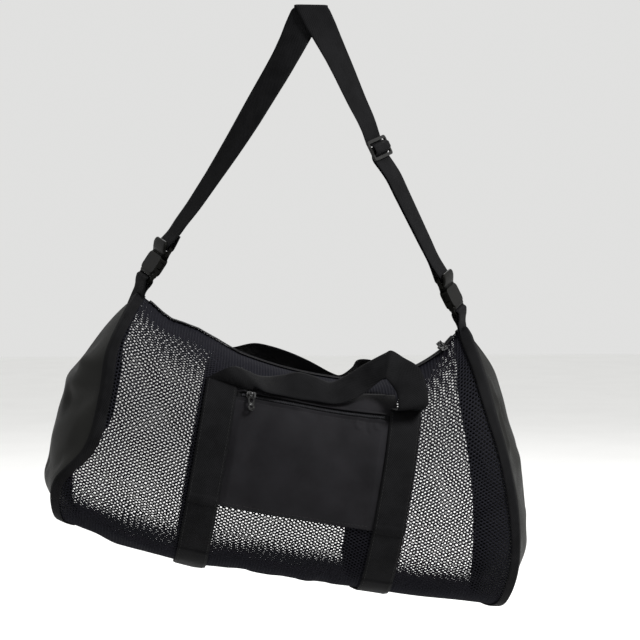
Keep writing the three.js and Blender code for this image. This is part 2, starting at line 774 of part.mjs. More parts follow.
function block(x0, y0, x1, y1, thick) {
  const geometry = new THREE.BoxGeometry(Math.abs(x1 - x0), y1 - y0, thick);
  return geometry.translate((x0 + x1) / 2, (y0 + y1) / 2, 0);
}

function loopFrame(from, to, slotFrom, thick) {
  const { width, slot, slotWidth, corner } = BUCKLE;
  const frame = roundedRect(new THREE.Shape(), -width / 2, from, width / 2, to, corner);
  const slotX = slotWidth / 2;
  frame.holes.push(roundedRect(new THREE.Path(), -slotX, slotFrom, slotX, slotFrom + slot, SLOT_CORNER));
  return plate(frame, thick);
}

function bucklePlug() {
  const { rail, slot, plugThick, cavity, arm, tongue, root, window } = BUCKLE;
  const bottom = rail * 1.5 + slot;
  const reach = bottom + cavity.depth - root;
  const padFrom = bottom + window.from + root;
  const padTo = bottom + window.to - root;
  const outer = cavity.width / 2 - arm.clear;
  const inner = outer - arm.width;
  const pieces = [loopFrame(-rail / 2, bottom, rail / 2, plugThick)];
  pieces.push(block(-tongue / 2, bottom - root, tongue / 2, reach, plugThick));
  for (const sign of [-1, 1]) {
    pieces.push(block(sign * inner, bottom - root, sign * outer, reach - arm.short, plugThick));
    pieces.push(block(sign * inner, padFrom, sign * (outer + arm.pad), padTo, plugThick));
  }
  return join(pieces);
}

function buckleSocket() {
  const { width, rail, slot, plugThick, socketThick, cavity, barToBar, root, window, corner } = BUCKLE;
  const mouth = rail * 1.5 + slot + GAP;
  const slotFrom = barToBar - rail / 2 - slot;
  const outline = roundedRect(new THREE.Shape(), -width / 2, mouth, width / 2, slotFrom, corner);
  const shell = plate(outline, socketThick);
  const loop = loopFrame(slotFrom - 2 * corner, barToBar + rail / 2, slotFrom, plugThick);
  const hollow = new THREE.BoxGeometry(cavity.width, cavity.depth + 2 * root, cavity.thick);
  hollow.translate(0, mouth + cavity.depth / 2 - root, 0);
  const windows = new THREE.BoxGeometry(2 * width, window.to - window.from, cavity.thick);
  windows.translate(0, mouth + (window.from + window.to) / 2, 0);
  return cut(join([shell, loop]), [hollow, windows]);
}

function buckle(side) {
  const run = RUNS[side];
  const lean = THREE.MathUtils.degToRad(side === 'left' ? BUCKLE.leanLeft : BUCKLE.leanRight);
  const group = runGroup(run, run.length, lean);
  group.add(mesh(`buckle_${side}_plug`, bucklePlug(), PLASTIC));
  group.add(mesh(`buckle_${side}_socket`, buckleSocket(), PLASTIC));
  return group;
}

// The loop that joins a buckle to the bag: over the socket's bar, its outer leg sewn down the end panel
function strapTab(side, bag) {
  const end = ENDS[side];
  const group = buckle(side);
  group.updateMatrixWorld(true);
  const place = (x, y, z) => group.localToWorld(vec(x, y, z));
  const width = place(1, 0, 0).sub(place(0, 0, 0)).multiplyScalar(WEB_WIDTH / 2);
  const depth = vec(0, Math.sign(width.y) * WEB_WIDTH / 2, 0);
  const { radius } = TAB;
  const turn = range(0, Math.PI, BAR_TURN.steps).map((angle) => ({
    centre: place(0, BUCKLE.barToBar - radius * Math.sin(angle), -radius * Math.cos(angle)),
    side: width,
  }));
  const ridgeEnd = onSection(SECTIONS[side], 0);
  const [, corner, onPanel] = bindingProfile(end, ridgeEnd, 0, BINDING.thick + TAB.clear + WEB_THICK / 2);
  const last = panelPoint(end, ridgeEnd, TAB.endRing, TAB.endLift);
  const sewn = [corner, onPanel, last].map((point) => ({
    centre: bag.localToWorld(point.setY(0)),
    side: depth,
  }));
  const inside = ridge(ridgeEnd.x - end.outward * TAB.inset, TAB.insideLift);
  const legs = [{ centre: bag.localToWorld(inside), side: depth }, ...turn, ...sewn];
  return mesh(`strap_tab_${side}`, ribbon(legs, WEB_THICK), WEBBING);
}

// The whole bag

function bagGroup() {
  const group = new THREE.Group();
  group.rotation.y = TILT;
  group.position.copy(BAG_PLACE);
  group.add(meshBody());
  for (const [side, end] of Object.entries(ENDS)) {
    group.add(endPanel(`end_panel_${side}`, end, SECTIONS[side]));
    group.add(seamBinding(`seam_binding_${side}`, end, SECTIONS[side]));
  }
  group.add(...topZip(), topZipRunner(), ...pocket(), pocketZipRunner(), ...handles());
  group.updateMatrixWorld(true);
  return group;
}

const bag = bagGroup();
const part = new THREE.Group();
part.add(bag, shoulderStrap(), strapSlider(), buckle('left'), buckle('right'));
part.add(strapTab('left', bag), strapTab('right', bag));

export default part;
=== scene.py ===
"""Looks for a mesh gym bag that hangs by its shoulder strap.

Tables are in millimetres. The bag's own tables run along it, out from its middle plane and up from its
bottom. Meshes, materials, lights and camera are in metres, in the frame of the solids.
"""

import json
import math
from types import SimpleNamespace as Values

import bmesh
import bpy
import numpy as np
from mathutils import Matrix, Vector
from mathutils.geometry import tessellate_polygon


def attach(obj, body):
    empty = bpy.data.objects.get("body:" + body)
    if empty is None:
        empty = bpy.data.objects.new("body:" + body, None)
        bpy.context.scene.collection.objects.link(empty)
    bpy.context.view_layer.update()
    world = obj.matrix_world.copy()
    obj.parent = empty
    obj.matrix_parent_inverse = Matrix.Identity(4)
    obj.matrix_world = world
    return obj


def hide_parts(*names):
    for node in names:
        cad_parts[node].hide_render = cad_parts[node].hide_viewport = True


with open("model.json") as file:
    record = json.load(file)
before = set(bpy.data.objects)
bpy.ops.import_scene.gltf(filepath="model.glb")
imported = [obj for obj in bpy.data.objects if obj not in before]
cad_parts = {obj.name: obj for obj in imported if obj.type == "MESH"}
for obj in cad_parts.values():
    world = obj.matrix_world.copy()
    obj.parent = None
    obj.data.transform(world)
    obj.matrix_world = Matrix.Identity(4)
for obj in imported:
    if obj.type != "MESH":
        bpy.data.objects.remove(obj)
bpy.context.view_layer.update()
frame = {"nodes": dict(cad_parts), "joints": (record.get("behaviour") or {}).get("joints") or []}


def table(columns, *rows):
    """Rows of a table, each with its values under the names of the columns."""
    return [Values(**dict(zip(columns.split(), row))) for row in rows]


MM = 0.001
TINY = 1e-9

# Placing of the bag below the hang point: its right end hangs lower
TILT = math.radians(10)
BAG_PLACE = np.array([-49, 0, -715])

# Cloth, webbing and clearances
GAP = 0.4
SKIN_LIFT = 0.6
WEB_WIDTH = 38
WEB_THICK = 1.8
WEB_COLUMNS = 15
WEB_EDGE = Values(least=0.06, power=8)

# Eight lines along the wrap, from the zip ridge to the bottom, at the two seams and in the middle.
# bend says how late a line leaves its middle height on the way to the seam.
LEFT_SEAM = table(
    "line along depth height bend",
    ("ridge", -225, 9, 314, 2),
    ("slope", -233, 46, 292, 2),
    ("shoulder", -243, 88, 248, 2),
    ("upper", -241, 112, 197, 2),
    ("belly", -247, 124, 135, 2),
    ("low", -279, 116, 84, 2),
    ("corner", -275, 86, 43, 2.5),
    ("bottom", -262, 36, 27, 2.5),
)
MIDDLE = table(
    "line along depth height",
    ("ridge", 14, 9, 255),
    ("slope", 12, 60, 249),
    ("shoulder", 10, 106, 229),
    ("upper", 10, 128, 188),
    ("belly", 10, 136, 125),
    ("low", 10, 131, 66),
    ("corner", 10, 106, 20),
    ("bottom", 10, 45, 4),
)
RIGHT_SEAM = table(
    "line along depth height bend",
    ("ridge", 187, 9, 340, 2.8),
    ("slope", 200, 46, 310, 2.5),
    ("shoulder", 219, 90, 256, 2.2),
    ("upper", 243, 114, 199, 2),
    ("belly", 266, 126, 132, 2),
    ("low", 278, 120, 70, 2),
    ("corner", 278, 92, 25, 2),
    ("bottom", 270, 38, 10, 2),
)
BACK_RATIO = 0.9
LAST_LINE = 2 * len(MIDDLE) - 1
LINE_STEPS = 601
SEAM_STEPS = 181
NORMAL_REACH = Values(along=3, line=0.12)

# Creases in the mesh: a fold between two places, along the bag and down the cloth from the zip.
# A dent has a negative rise.
CREASE = Values(fade=0.3, bow=4, turn=3)
CREASE_COLUMNS = "start end width rise"
FRONT_CREASES = table(
    CREASE_COLUMNS,
    ((-212, 96), (-130, 196), 8, -4),
    ((-222, 132), (-132, 236), 9, 3.5),
    ((-232, 176), (-134, 268), 8, -4),
    ((-246, 236), (-130, 300), 10, -4.5),
    ((-262, 290), (-130, 338), 12, 3.5),
    ((-196, 60), (-128, 92), 12, -3),
    ((142, 140), (152, 280), 7, -4.5),
    ((158, 120), (176, 250), 8, 3),
    ((160, 92), (234, 190), 12, -3),
    ((252, 196), (176, 276), 9, -4.5),
    ((144, 306), (262, 296), 11, -4),
    ((-58, 300), (-40, 372), 10, -3),
    ((2, 296), (16, 366), 12, -3),
    ((58, 300), (54, 372), 10, -2.5),
    ((-216, 408), (-84, 408), 46, 6),
)
BACK_CREASES = table(
    CREASE_COLUMNS,
    ((-214, 104), (-126, 210), 10, -4),
    ((-236, 206), (-128, 290), 10, -4),
    ((-60, 120), (40, 240), 14, -3.5),
    ((70, 130), (-10, 290), 14, 3),
    ((140, 110), (232, 226), 10, -4),
    ((146, 250), (250, 300), 12, -3.5),
    ((-216, 408), (-84, 408), 46, 6),
)

# Ripples: waves that are multiplied, each with its turn per step in two directions and its start
SWELL = Values(rise=1.2, waves=((1 / 31, 1 / 47, 0), (1 / 67, -1 / 29, 0)))
SWELL_FADE = 40
PANEL_RIPPLE = Values(rise=0.8, waves=((1 / 17, 1 / 11, 0), (0, 1 / 23, 0)))
POCKET_RIPPLE = Values(rise=0.9, waves=((1 / 9, 2.2, 0), (1 / 23, 0, 1)))
POCKET_PLEAT = Values(rise=0.7, waves=((1 / 17, -3.1, 0),))

# A place down the cloth that no crease reaches
FAR_OFF = -1000

# How far the ridge stands above its plain line: pairs of a place along the bag and a rise
RIDGE_RISE = [
    (-240, 2), (-222, 3.5), (-208, 3), (-194, 0), (-181, -1), (-166, 2.5), (-146, 5.5),
    (-120, 4), (-90, 0), (164, 0), (172, 6), (179, 8), (188, 3), (210, 3),
]
RISE_FADE = 70

# Open mesh cloth: half sizes of the holes, and how far their rims lie under the cloth's face.
# The back's holes are wider, so that the rows in front show evenly.
HOLE_PITCH = 4.1
FRONT_HOLE = Values(along=1.56, down=1.1, sink=1.4)
BACK_HOLE = Values(along=1.85, down=1.85, sink=1.4)
MESH_EDGE = 2
MESH_HALF = 320

# End panels: domed cloth whose rings shrink towards the tip
PANEL = Values(thick=2, dome=2.4, fold_ring=0.965, last_ring=0.02, rings=60, closing=6, taut=0.3)
ENDS = {
    "left": Values(seam=LEFT_SEAM, outward=-1, tip=np.array([-300, 0, 114])),
    "right": Values(seam=RIGHT_SEAM, outward=1, tip=np.array([301, 0, 128])),
}
BINDING = Values(reach=6.5, lift=1.1, thick=1.4, round=0.35, closing=7)

# Folds of the end panels, between two places that are given by depth and height
PANEL_FOLDS = {
    "left": table(
        CREASE_COLUMNS,
        ((-44, 229), (-98, 237), 11, 7),
        ((90, 208), (-70, 203), 16, 5),
        ((-48, 180), (-104, 194), 16, -6),
        ((40, 262), (-40, 256), 26, -2.5),
        ((-40, 126), (-100, 138), 20, 2.5),
        ((-36, 96), (-104, 108), 14, -4.5),
        ((40, 84), (-60, 82), 16, 3.5),
        ((-30, 54), (-90, 62), 10, -4),
    ),
    "right": table(
        CREASE_COLUMNS,
        ((120, 250), (-120, 250), 45, -14),
        ((120, 186), (-120, 186), 34, -7),
        ((-48, 294), (-78, 254), 5, 9),
        ((-58, 270), (-94, 210), 5, 10),
        ((-30, 252), (-90, 236), 18, -3),
        ((-30, 204), (-100, 188), 14, 3),
        ((-30, 150), (-100, 164), 14, -4),
        ((-40, 100), (-100, 88), 16, 3),
    ),
}

# Bands of the handles, on lines counted in table rows from the front ridge
BAND = Values(
    left=-108, right=116, top=2, lift=SKIN_LIFT + WEB_THICK / 2, steps=260,
    bottom_gap=0.003, lap=5.73, lap_rise=1.3, lap_run=0.03,
    hem=4.42, hem_rise=1.2, hem_run=0.06, hem_end=0.05,
    over_start=0.1, over_run=0.2, past_pocket=0.05, over_end=0.06, stitch_gap=0.1,
)

# Pocket and zips, on the same lines
POCKET = Values(top=1.47, zip=2.26, zip_half=0.075, bottom=4.57, lift=1.6, thick=1.2, columns=120)
ZIP_EDGES = Values(upper=POCKET.zip - POCKET.zip_half, lower=POCKET.zip + POCKET.zip_half)
POCKET_FRONT = Values(top=ZIP_EDGES.lower, bottom=POCKET.bottom, puff=5, rows=96)
POCKET_STRIP = Values(top=POCKET.top, bottom=ZIP_EDGES.upper, puff=0, rows=30)
POCKET_EDGE = Values(side=0.05, top=0.12, rise=0.6)
POCKET_TUCK = Values(reach=7, lift=0.2)
POCKET_CREASES = table(
    CREASE_COLUMNS,
    ((-92, 88), (-78, 98), 2.2, 1.6),
    ((-92, 100), (-78, 101), 2, -1.4),
    ((-92, 112), (-78, 104), 2.2, 1.6),
    ((60, 116), (62, 132), 3, 1),
    ((72, 116), (74, 136), 3, -1),
    ((84, 116), (85, 130), 3, 1),
    ((-20, 112), (6, 128), 6, 1.2),
    ((-46, 126), (-62, 190), 10, -1.2),
    ((30, 130), (84, 200), 12, -1.2),
)
POCKET_SEAMS = table(
    "sheet line",
    (POCKET_FRONT, POCKET_FRONT.bottom - 0.07),
    (POCKET_FRONT, POCKET_FRONT.top + 0.1),
    (POCKET_STRIP, POCKET_STRIP.bottom - 0.06),
)
LIP = Values(rise=1.7, width=1.7, groove=0.8, groove_at=4.6, groove_width=1.3)
POCKET_ZIP = Values(
    tape_half=0.2, tape_thick=0.6, tape_steps=110, tape_columns=9,
    coil_width=4.4, coil_thick=1.8, coil_steps=200, end_inset=6,
)
TOP_ZIP = Values(
    start=-212, end=176, tape_width=26, tape_thick=0.8, tape_steps=160, tape_columns=13,
    coil_width=5, coil_thick=1.8, coil_sunk=0.6, coil_steps=400,
)
TOOTH = Values(pitch=1.5, half=0.46, shift=0.4, sides=8)
TOOTH_RINGS = table(
    "at size lift",
    (-1, 0.35, 0), (-0.55, 0.85, 0), (0, 1, 0), (0.55, 0.85, 0), (1, 0.35, 0),
)

# The free arch of each handle, from the left band to the right one: places on the two edges of the webbing
ARCH = Values(steps=10, curl=1.2, level=0.4)
FRONT_ARCH = table(
    "upper lower",
    ((-108, -110, 250), (-74, -113, 230)),
    ((-97, -106, 255), (-68, -115, 234)),
    ((-62, -90, 248), (-55, -122, 232)),
    ((-37, -90, 254), (-31, -119, 231)),
    ((-22, -92, 260), (-16, -117, 230)),
    ((0, -90, 259), (6, -117, 231)),
    ((21, -88, 255), (29, -117, 232)),
    ((38, -87, 265), (49, -114, 240)),
    ((55, -85, 280), (65, -109, 253)),
    ((81, -91, 301), (82, -112, 271)),
    ((87, -93, 305), (85, -113, 271)),
    ((104, -96, 299), (91, -112, 266)),
    ((122, -106, 291), (98, -118, 258)),
    ((134, -121, 269), (101, -127, 249)),
    ((137, -129, 250), (102, -131, 238)),
)
BACK_ARCH = table(
    "upper lower",
    ((-120, 97, 256), (-88, 101, 245)),
    ((-92, 66, 270), (-79, 88, 256)),
    ((-70, 54, 279), (-66, 80, 256)),
    ((-49, 49, 279), (-51, 77, 252)),
    ((-22, 44, 275), (-24, 75, 250)),
    ((5, 41, 268), (0, 73, 246)),
    ((35, 39, 258), (36, 75, 246)),
    ((46, 40, 257), (46, 76, 247)),
    ((61, 46, 270), (62, 74, 250)),
    ((66, 48, 280), (72, 76, 258)),
    ((92, 62, 282), (90, 84, 262)),
    ((114, 84, 268), (99, 100, 250)),
)

# The two runs of the shoulder strap, from the fold to the bar of each buckle.
# A twist is pairs of a share of the run and degrees.
FOLD = Values(inner=1.5, near=6, spread=60, apart=70, steps=8)
FOLD_RADIUS = FOLD.inner + WEB_THICK / 2
RUN_STEP = 24
STATION_STEPS = 4
TWIST_LEFT = [(0, 10), (0.2, 30), (0.45, 40), (0.7, 56), (1, 67)]
TWIST_RIGHT = [(0, 10), (0.2, 33), (0.45, 49), (0.7, 54), (1, 62)]
LEFT_BAR = np.array([-183, 0, -302])
RIGHT_BAR = np.array([168, 0, -342])
LEFT_BOW = 7
RIGHT_BOW = 0
SLIDER_AT = 198
SLIDER_REACH = Values(above=64, below=40)
LAYER = 1.15
BAR_TURN = Values(radius=4.3, steps=6, blend=13, start=2)
TURN_ANGLES = np.linspace(0, math.pi, BAR_TURN.steps + 1)
SEWN_END = Values(length=19, blend=16, rows=(2.5, 5.5), inset=0.85, steps=40)

# How the webbing weaves through the slider: places from its middle, and offsets out from the run
SEWN_LOOP = table(
    "place offset",
    (0.5, 2.6), (-1.8, 2.6), (-3.4, 1.8), (-3.9, 0), (-3.4, -1.8), (-1.8, -2.6),
    (2.5, -2.9), (6, -4.4), (9, -5.6), (14, -5.6), (24, -3.6),
)
WEAVE = table(
    "place offset",
    (24, -1.2), (14, -3.1), (9, -3.4), (4, 4.6), (0, 5),
    (-4, 4.6), (-9, -3.4), (-14, -3.1), (-26, -1.2), (-40, 0),
)

# Buckles, and the tabs that join them to the bag
BAR_TO_BAR = 49
BUCKLE_LEAN = {"left": 33, "right": 27}
TAB = Values(radius=4.9, apart=1, joined=0.4, beyond=6, sunk=13, first=0.15, stations=8, steps=5)
TAB_TURN = {"left": (0.42, -0.90, -0.05), "right": (0.36, 0.92, 0.10)}

# Rounded forms that fill the buckle's frames up to the webbing, by distance from the strap's bar.
# The hood stands off the webbing on the outer face.
COLLAR_COLUMNS = "at half thick out"
PLUG_COLLAR = table(
    COLLAR_COLUMNS,
    (5.4, 20.6, 5.6, 0),
    (6.2, 21.4, 7, 0),
    (9.5, 22, 8.6, 0),
    (14.8, 22.3, 10, 0),
)
PLUG_HOOD = table(
    COLLAR_COLUMNS,
    (12.6, 21.6, 6, 1.6),
    (8, 21.6, 5.4, 4.6),
    (3.5, 21.4, 4.6, 7.2),
    (-0.5, 20.6, 4.2, 8.4),
    (-3.2, 18.6, 3.4, 8.7),
    (-4.6, 16, 1.6, 8.8),
)
SOCKET_COLLAR = table(
    COLLAR_COLUMNS,
    (36.4, 22.3, 10.2, 0),
    (40.6, 22.2, 10, 0),
    (42.2, 21.8, 9.2, 0),
    (43, 20.8, 7.4, 0),
)
COLLAR = Values(sides=24, across_power=0.3, through_power=0.5)

# Rounding of the hard pieces' edges, with its radii in metres
ROUNDING = Values(merge=1e-6, flat=math.radians(4), sharp=math.radians(35), segments=2, weight=90)
EDGE_RADIUS = Values(plug=0.0007, socket=0.0012, slide=0.0007, runner=0.0004)

# Pull of a zip, measured down from its pin
TAG = Values(
    thick=1.6, bevel=0.35, bevel_share=0.3, hole=1.6, hole_steps=16,
    knob=4.5, knob_at=18.5, knob_from=-2.35, knob_steps=17,
    slot_half=1.9, slot_length=7, slot_at=9.2, slot_steps=20,
)
TAG_SIDES = table(
    "down half",
    (1.5, 1.9), (2.8, 2), (3.6, 3), (4.8, 3.8), (6, 4), (11.5, 4), (13, 3.7), (14.2, 3.3),
)
EYE_PROFILE = table(
    "at radius",
    (-1.9, 1.25), (-1.9, 1.6), (-1.6, 1.9), (1.6, 1.9), (1.9, 1.6), (1.9, 1.25),
)
EYE_SIDES = 24

# Stitches, whose ends dip into the cloth
STITCH = Values(length=2.9, gap=1.3, radius=0.28, sides=6, inset=3, steps=160)
STITCH_RINGS = table(
    "at size lift",
    (-1, 0.25, -0.4), (-0.7, 0.9, -0.094), (0.7, 0.9, -0.094), (1, 0.25, -0.4),
)

# Colour ramps run between these shares
RAMP = (0.25, 0.75)

# Floor, lights and camera, which stands at the photograph's angle
FLOOR = Values(size=24, height=-1.15)
LIGHTS = table(
    "name place size watts",
    ("key", (1.7, -1.4, 1.6), 0.9, 190),
    ("fill", (-2, -1.5, 0.9), 1, 12),
    ("behind", (0.3, 3.4, 2.4), 2.6, 60),
)
LIGHT_TARGET = Vector((0, 0, -0.45))
WORLD = Values(colour=(1, 1, 0.99, 1), strength=0.75)
CAMERA = Values(azimuth=-5, elevation=2, distance=1.9, lens=84.15, sensor=36)
CAMERA_TARGET = Vector((0.0114, 0, -0.396))


# Curves and the skin of the bag

def unit(vectors):
    return vectors / np.maximum(np.linalg.norm(vectors, axis=-1, keepdims=True), TINY)


def smooth(t):
    t = np.clip(t, 0, 1)
    return t * t * (3 - 2 * t)


def round_angles(count):
    return np.linspace(0, 2 * math.pi, count, endpoint=False)


def lengths(points):
    """Length of a line of points up to each of them."""
    return np.concatenate([[0], np.cumsum(np.linalg.norm(np.diff(points, axis=0), axis=1))])


def curve_at(points, at):
    """Points on the centripetal Catmull-Rom curve through given points, at places counted in points."""
    points = np.asarray(points, float)
    padded = np.vstack([2 * points[0] - points[1], points, 2 * points[-1] - points[-2]])
    at = np.clip(np.asarray(at, float), 0, len(points) - 1)
    start = np.minimum(at.astype(int), len(points) - 2)
    t = (at - start)[..., None]
    p0, p1, p2, p3 = (padded[start + k] for k in range(4))
    gaps = (p1 - p0, p2 - p1, p3 - p2)
    d0, d1, d2 = (np.sqrt(np.linalg.norm(gap, axis=-1))[..., None] for gap in gaps)
    m1 = ((p1 - p0) / d0 - (p2 - p0) / (d0 + d1) + (p2 - p1) / d1) * d1
    m2 = ((p2 - p1) / d1 - (p3 - p1) / (d1 + d2) + (p3 - p2) / d2) * d1
    return p1 + m1 * t + (3 * (p2 - p1) - 2 * m1 - m2) * t**2 + (2 * (p1 - p2) + m1 + m2) * t**3


def section(rows):
    """Points round the bag, down the front and up the back."""
    front = [(row.along, -row.depth, row.height) for row in rows]
    back = [(row.along, row.depth * BACK_RATIO, row.height) for row in reversed(rows)]
    return np.array(front + back, float)


SECTIONS = {"middle": section(MIDDLE), "left": section(LEFT_SEAM), "right": section(RIGHT_SEAM)}
ROW_NUMBERS = np.arange(len(MIDDLE))
BENDS = {side: [row.bend for row in ENDS[side].seam] for side in ENDS}

# Length of cloth down the middle section, for every place on its lines
FINE_LINES = np.linspace(0, LAST_LINE, LINE_STEPS)
FINE_DOWN = lengths(curve_at(SECTIONS["middle"], FINE_LINES))
WHOLE_DOWN = FINE_DOWN[-1]


def line_at(down):
    return np.interp(down, FINE_DOWN, FINE_LINES)


def down_at(line):
    return np.interp(line, FINE_LINES, FINE_DOWN)


def skin(along, line):
    """Outer face of the wrap, as the solids have it."""
    along, line = np.broadcast_arrays(np.asarray(along, float), np.asarray(line, float))
    middle, left, right = (curve_at(points, line) for points in SECTIONS.values())
    is_left = along < middle[..., 0]
    end = np.where(is_left[..., None], left, right)
    row = np.minimum(line, LAST_LINE - line)
    left_bend, right_bend = (np.interp(row, ROW_NUMBERS, bends) for bends in BENDS.values())
    bend = np.where(is_left, left_bend, right_bend)
    share = np.abs((along - middle[..., 0]) / (end[..., 0] - middle[..., 0])) ** bend
    point = middle + (end - middle) * share[..., None]
    point[..., 0] = along
    return point


def skin_normal(along, line):
    reach, step = NORMAL_REACH.along, NORMAL_REACH.line
    run = skin(along + reach, line) - skin(along - reach, line)
    down = skin(along, np.minimum(line + step, LAST_LINE)) - skin(along, np.maximum(line - step, 0))
    return unit(np.cross(down, run))


def crease_rise(along, down, rows):
    """How far all creases of a table stand out at a place."""
    total = np.zeros(np.broadcast(along, down).shape)
    for row in rows:
        start = np.array(row.start, float)
        run = row.end - start
        length = np.linalg.norm(run)
        at = ((along - start[0]) * run[0] + (down - start[1]) * run[1]) / length**2
        off = ((along - start[0]) * run[1] - (down - start[1]) * run[0]) / length
        fade = smooth(at / CREASE.fade + 0.5) * smooth((1 - at) / CREASE.fade + 0.5)
        bent = off + CREASE.bow * np.sin(CREASE.turn * at)
        total += row.rise * fade * np.exp(-((bent / row.width) ** 2))
    return total


def ripple(row, a, b):
    """Height of a ripple at a place in two directions."""
    height = row.rise
    for turn_a, turn_b, start in row.waves:
        height = height * np.sin(a * turn_a + b * turn_b + start)
    return height


def folds(along, line):
    """How far the cloth stands off its plain shape: creases, and a slow swell."""
    along = np.asarray(along, float)
    down = down_at(line)
    is_front = down < WHOLE_DOWN / 2
    from_front = np.where(is_front, down, FAR_OFF)
    from_back = np.where(is_front, FAR_OFF, WHOLE_DOWN - down)
    creases = crease_rise(along, from_front, FRONT_CREASES) + crease_rise(along, from_back, BACK_CREASES)
    edge = smooth(np.minimum(down, WHOLE_DOWN - down) / SWELL_FADE)
    return edge * (creases + ripple(SWELL, along, down))


def ridge_rise(along):
    return np.interp(along, *zip(*RIDGE_RISE))


def raised(place, line):
    """Lifts places near the ridge with it."""
    down = down_at(line)
    near_ridge = 1 - smooth(np.minimum(down, WHOLE_DOWN - down) / RISE_FADE)
    place[..., 2] += ridge_rise(place[..., 0]) * near_ridge
    return place


def cloth(along, line, lift):
    """A place on the folded cloth, lifted off it."""
    along, line = np.broadcast_arrays(np.asarray(along, float), np.asarray(line, float))
    off = np.broadcast_to(lift, along.shape) + folds(along, line)
    return raised(skin(along, line) + skin_normal(along, line) * off[..., None], line)


def seam_points(side, lines):
    return raised(curve_at(SECTIONS[side], lines), lines)


def on_bag(points):
    """From the bag's own axes, in millimetres, to the frame, in metres."""
    points = np.asarray(points, float)
    cos, sin = math.cos(TILT), math.sin(TILT)
    x = points[..., 0] * cos + points[..., 2] * sin
    z = points[..., 2] * cos - points[..., 0] * sin
    return (np.stack([x, points[..., 1], z], axis=-1) + BAG_PLACE) * MM


# Making meshes

def placed(name, mesh, material, stands_for, body):
    """The object of a mesh, which rides on a body and stands for solids."""
    mesh.materials.append(material)
    made = bpy.data.objects.new(name, mesh)
    bpy.context.scene.collection.objects.link(made)
    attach(made, body)
    if stands_for:
        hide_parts(*stands_for)
    return made


def piece(name, points, faces, material, slot, stands_for=(), body="bag", uv=None):
    """A smooth mesh piece in the frame. uv is given per vertex."""
    mesh = bpy.data.meshes.new(name)
    face_lists = faces.tolist() if isinstance(faces, np.ndarray) else faces
    mesh.from_pydata(np.reshape(points, (-1, 3)).tolist(), [], face_lists)
    mesh.polygons.foreach_set("use_smooth", np.ones(len(mesh.polygons), bool))
    if uv is not None:
        corners = np.zeros(len(mesh.loops), np.int32)
        mesh.loops.foreach_get("vertex_index", corners)
        layer = mesh.uv_layers.new(name="cloth")
        layer.data.foreach_set("uv", np.asarray(uv, np.float32).reshape(-1, 2)[corners].ravel())
    placed(name, mesh, material, stands_for, body)


def grid_faces(rows, columns, wrap=False, close=False):
    """Faces of a grid, whose columns may wrap round and whose rows may close on the first one."""
    index = np.arange(rows * columns).reshape(rows, columns)
    if wrap:
        index = np.hstack([index, index[:, :1]])
    if close:
        index = np.vstack([index, index[:1]])
    a, b, c, d = index[:-1, :-1], index[:-1, 1:], index[1:, 1:], index[1:, :-1]
    return np.stack([a, b, c, d], axis=-1).reshape(-1, 4)


def tube_faces(rings, sides):
    """Faces of a tube through rings, closed at both ends."""
    last = (rings - 1) * sides
    caps = [list(range(sides))[::-1], list(range(last, last + sides))]
    return grid_faces(rings, sides, wrap=True).tolist() + caps


def grid_normals(points):
    return unit(np.cross(np.gradient(points, axis=0), np.gradient(points, axis=1)))


def measured_uv(points):
    """Lengths along and across a grid, so that a weave keeps its scale."""
    across = np.linalg.norm(np.diff(points, axis=1), axis=-1)
    along = np.linalg.norm(np.diff(points, axis=0), axis=-1).mean(axis=1)
    u = np.concatenate([np.zeros((len(points), 1)), np.cumsum(across, axis=1)], axis=1)
    u -= u.mean(axis=1, keepdims=True)
    v = np.concatenate([[0], np.cumsum(along)])
    return np.stack([u, np.broadcast_to(v[:, None], u.shape)], axis=-1)


def closed_sheet(outer, inner):
    """Points and faces of a thin closed sheet between two grids."""
    rows, columns = outer.shape[:2]
    count = rows * columns
    index = np.arange(count).reshape(rows, columns)
    rim = np.concatenate([index[0, :-1], index[:-1, -1], index[-1, :0:-1], index[:0:-1, 0]])
    after = np.roll(rim, -1)
    front = grid_faces(rows, columns)
    back = front[:, ::-1] + count
    edge = np.stack([after, rim, rim + count, after + count], axis=-1)
    points = np.concatenate([outer.reshape(-1, 3), inner.reshape(-1, 3)])
    return points, np.concatenate([front, back, edge])


def strip(name, middle, thick, stands_for):
    """Webbing with rounded edges, from a grid in metres of stations by places across."""
    across = np.linspace(-1, 1, middle.shape[1])
    half = thick * MM / 2 * np.sqrt(np.maximum(WEB_EDGE.least, 1 - across ** WEB_EDGE.power))
    off = grid_normals(middle) * half[None, :, None]
    points, faces = closed_sheet(middle + off, middle - off)
    piece(name, points, faces, WEBBING, "webbing", stands_for, uv=[measured_uv(middle)] * 2)


def spaced(points, pitch, end_room, *values):
    """Values at every pitch along a line of points."""
    length = lengths(points)
    places = np.arange(pitch / 2, length[-1] - end_room, pitch)
    return [np.stack([np.interp(places, length, axis) for axis in value.T], axis=-1) for value in values]


def bar_row(middles, axes, ups, rows, half_sizes, sides):
    """Points and faces of a row of short rounded bars, with rings in shares of a bar's half sizes."""
    long, wide, tall = half_sizes
    rights = np.cross(ups, axes)
    corners = []
    for row in rows:
        for angle in round_angles(sides):
            right = rights * (row.size * wide * math.cos(angle))
            up = ups * (row.size * tall * (math.sin(angle) + row.lift))
            corners.append(middles + axes * (row.at * long) + right + up)
    points = np.stack(corners, axis=1).reshape(-1, 3)
    one = tube_faces(len(rows), sides)
    starts = range(0, len(points), len(corners))
    return points, [[start + k for k in face] for start in starts for face in one]


# Materials

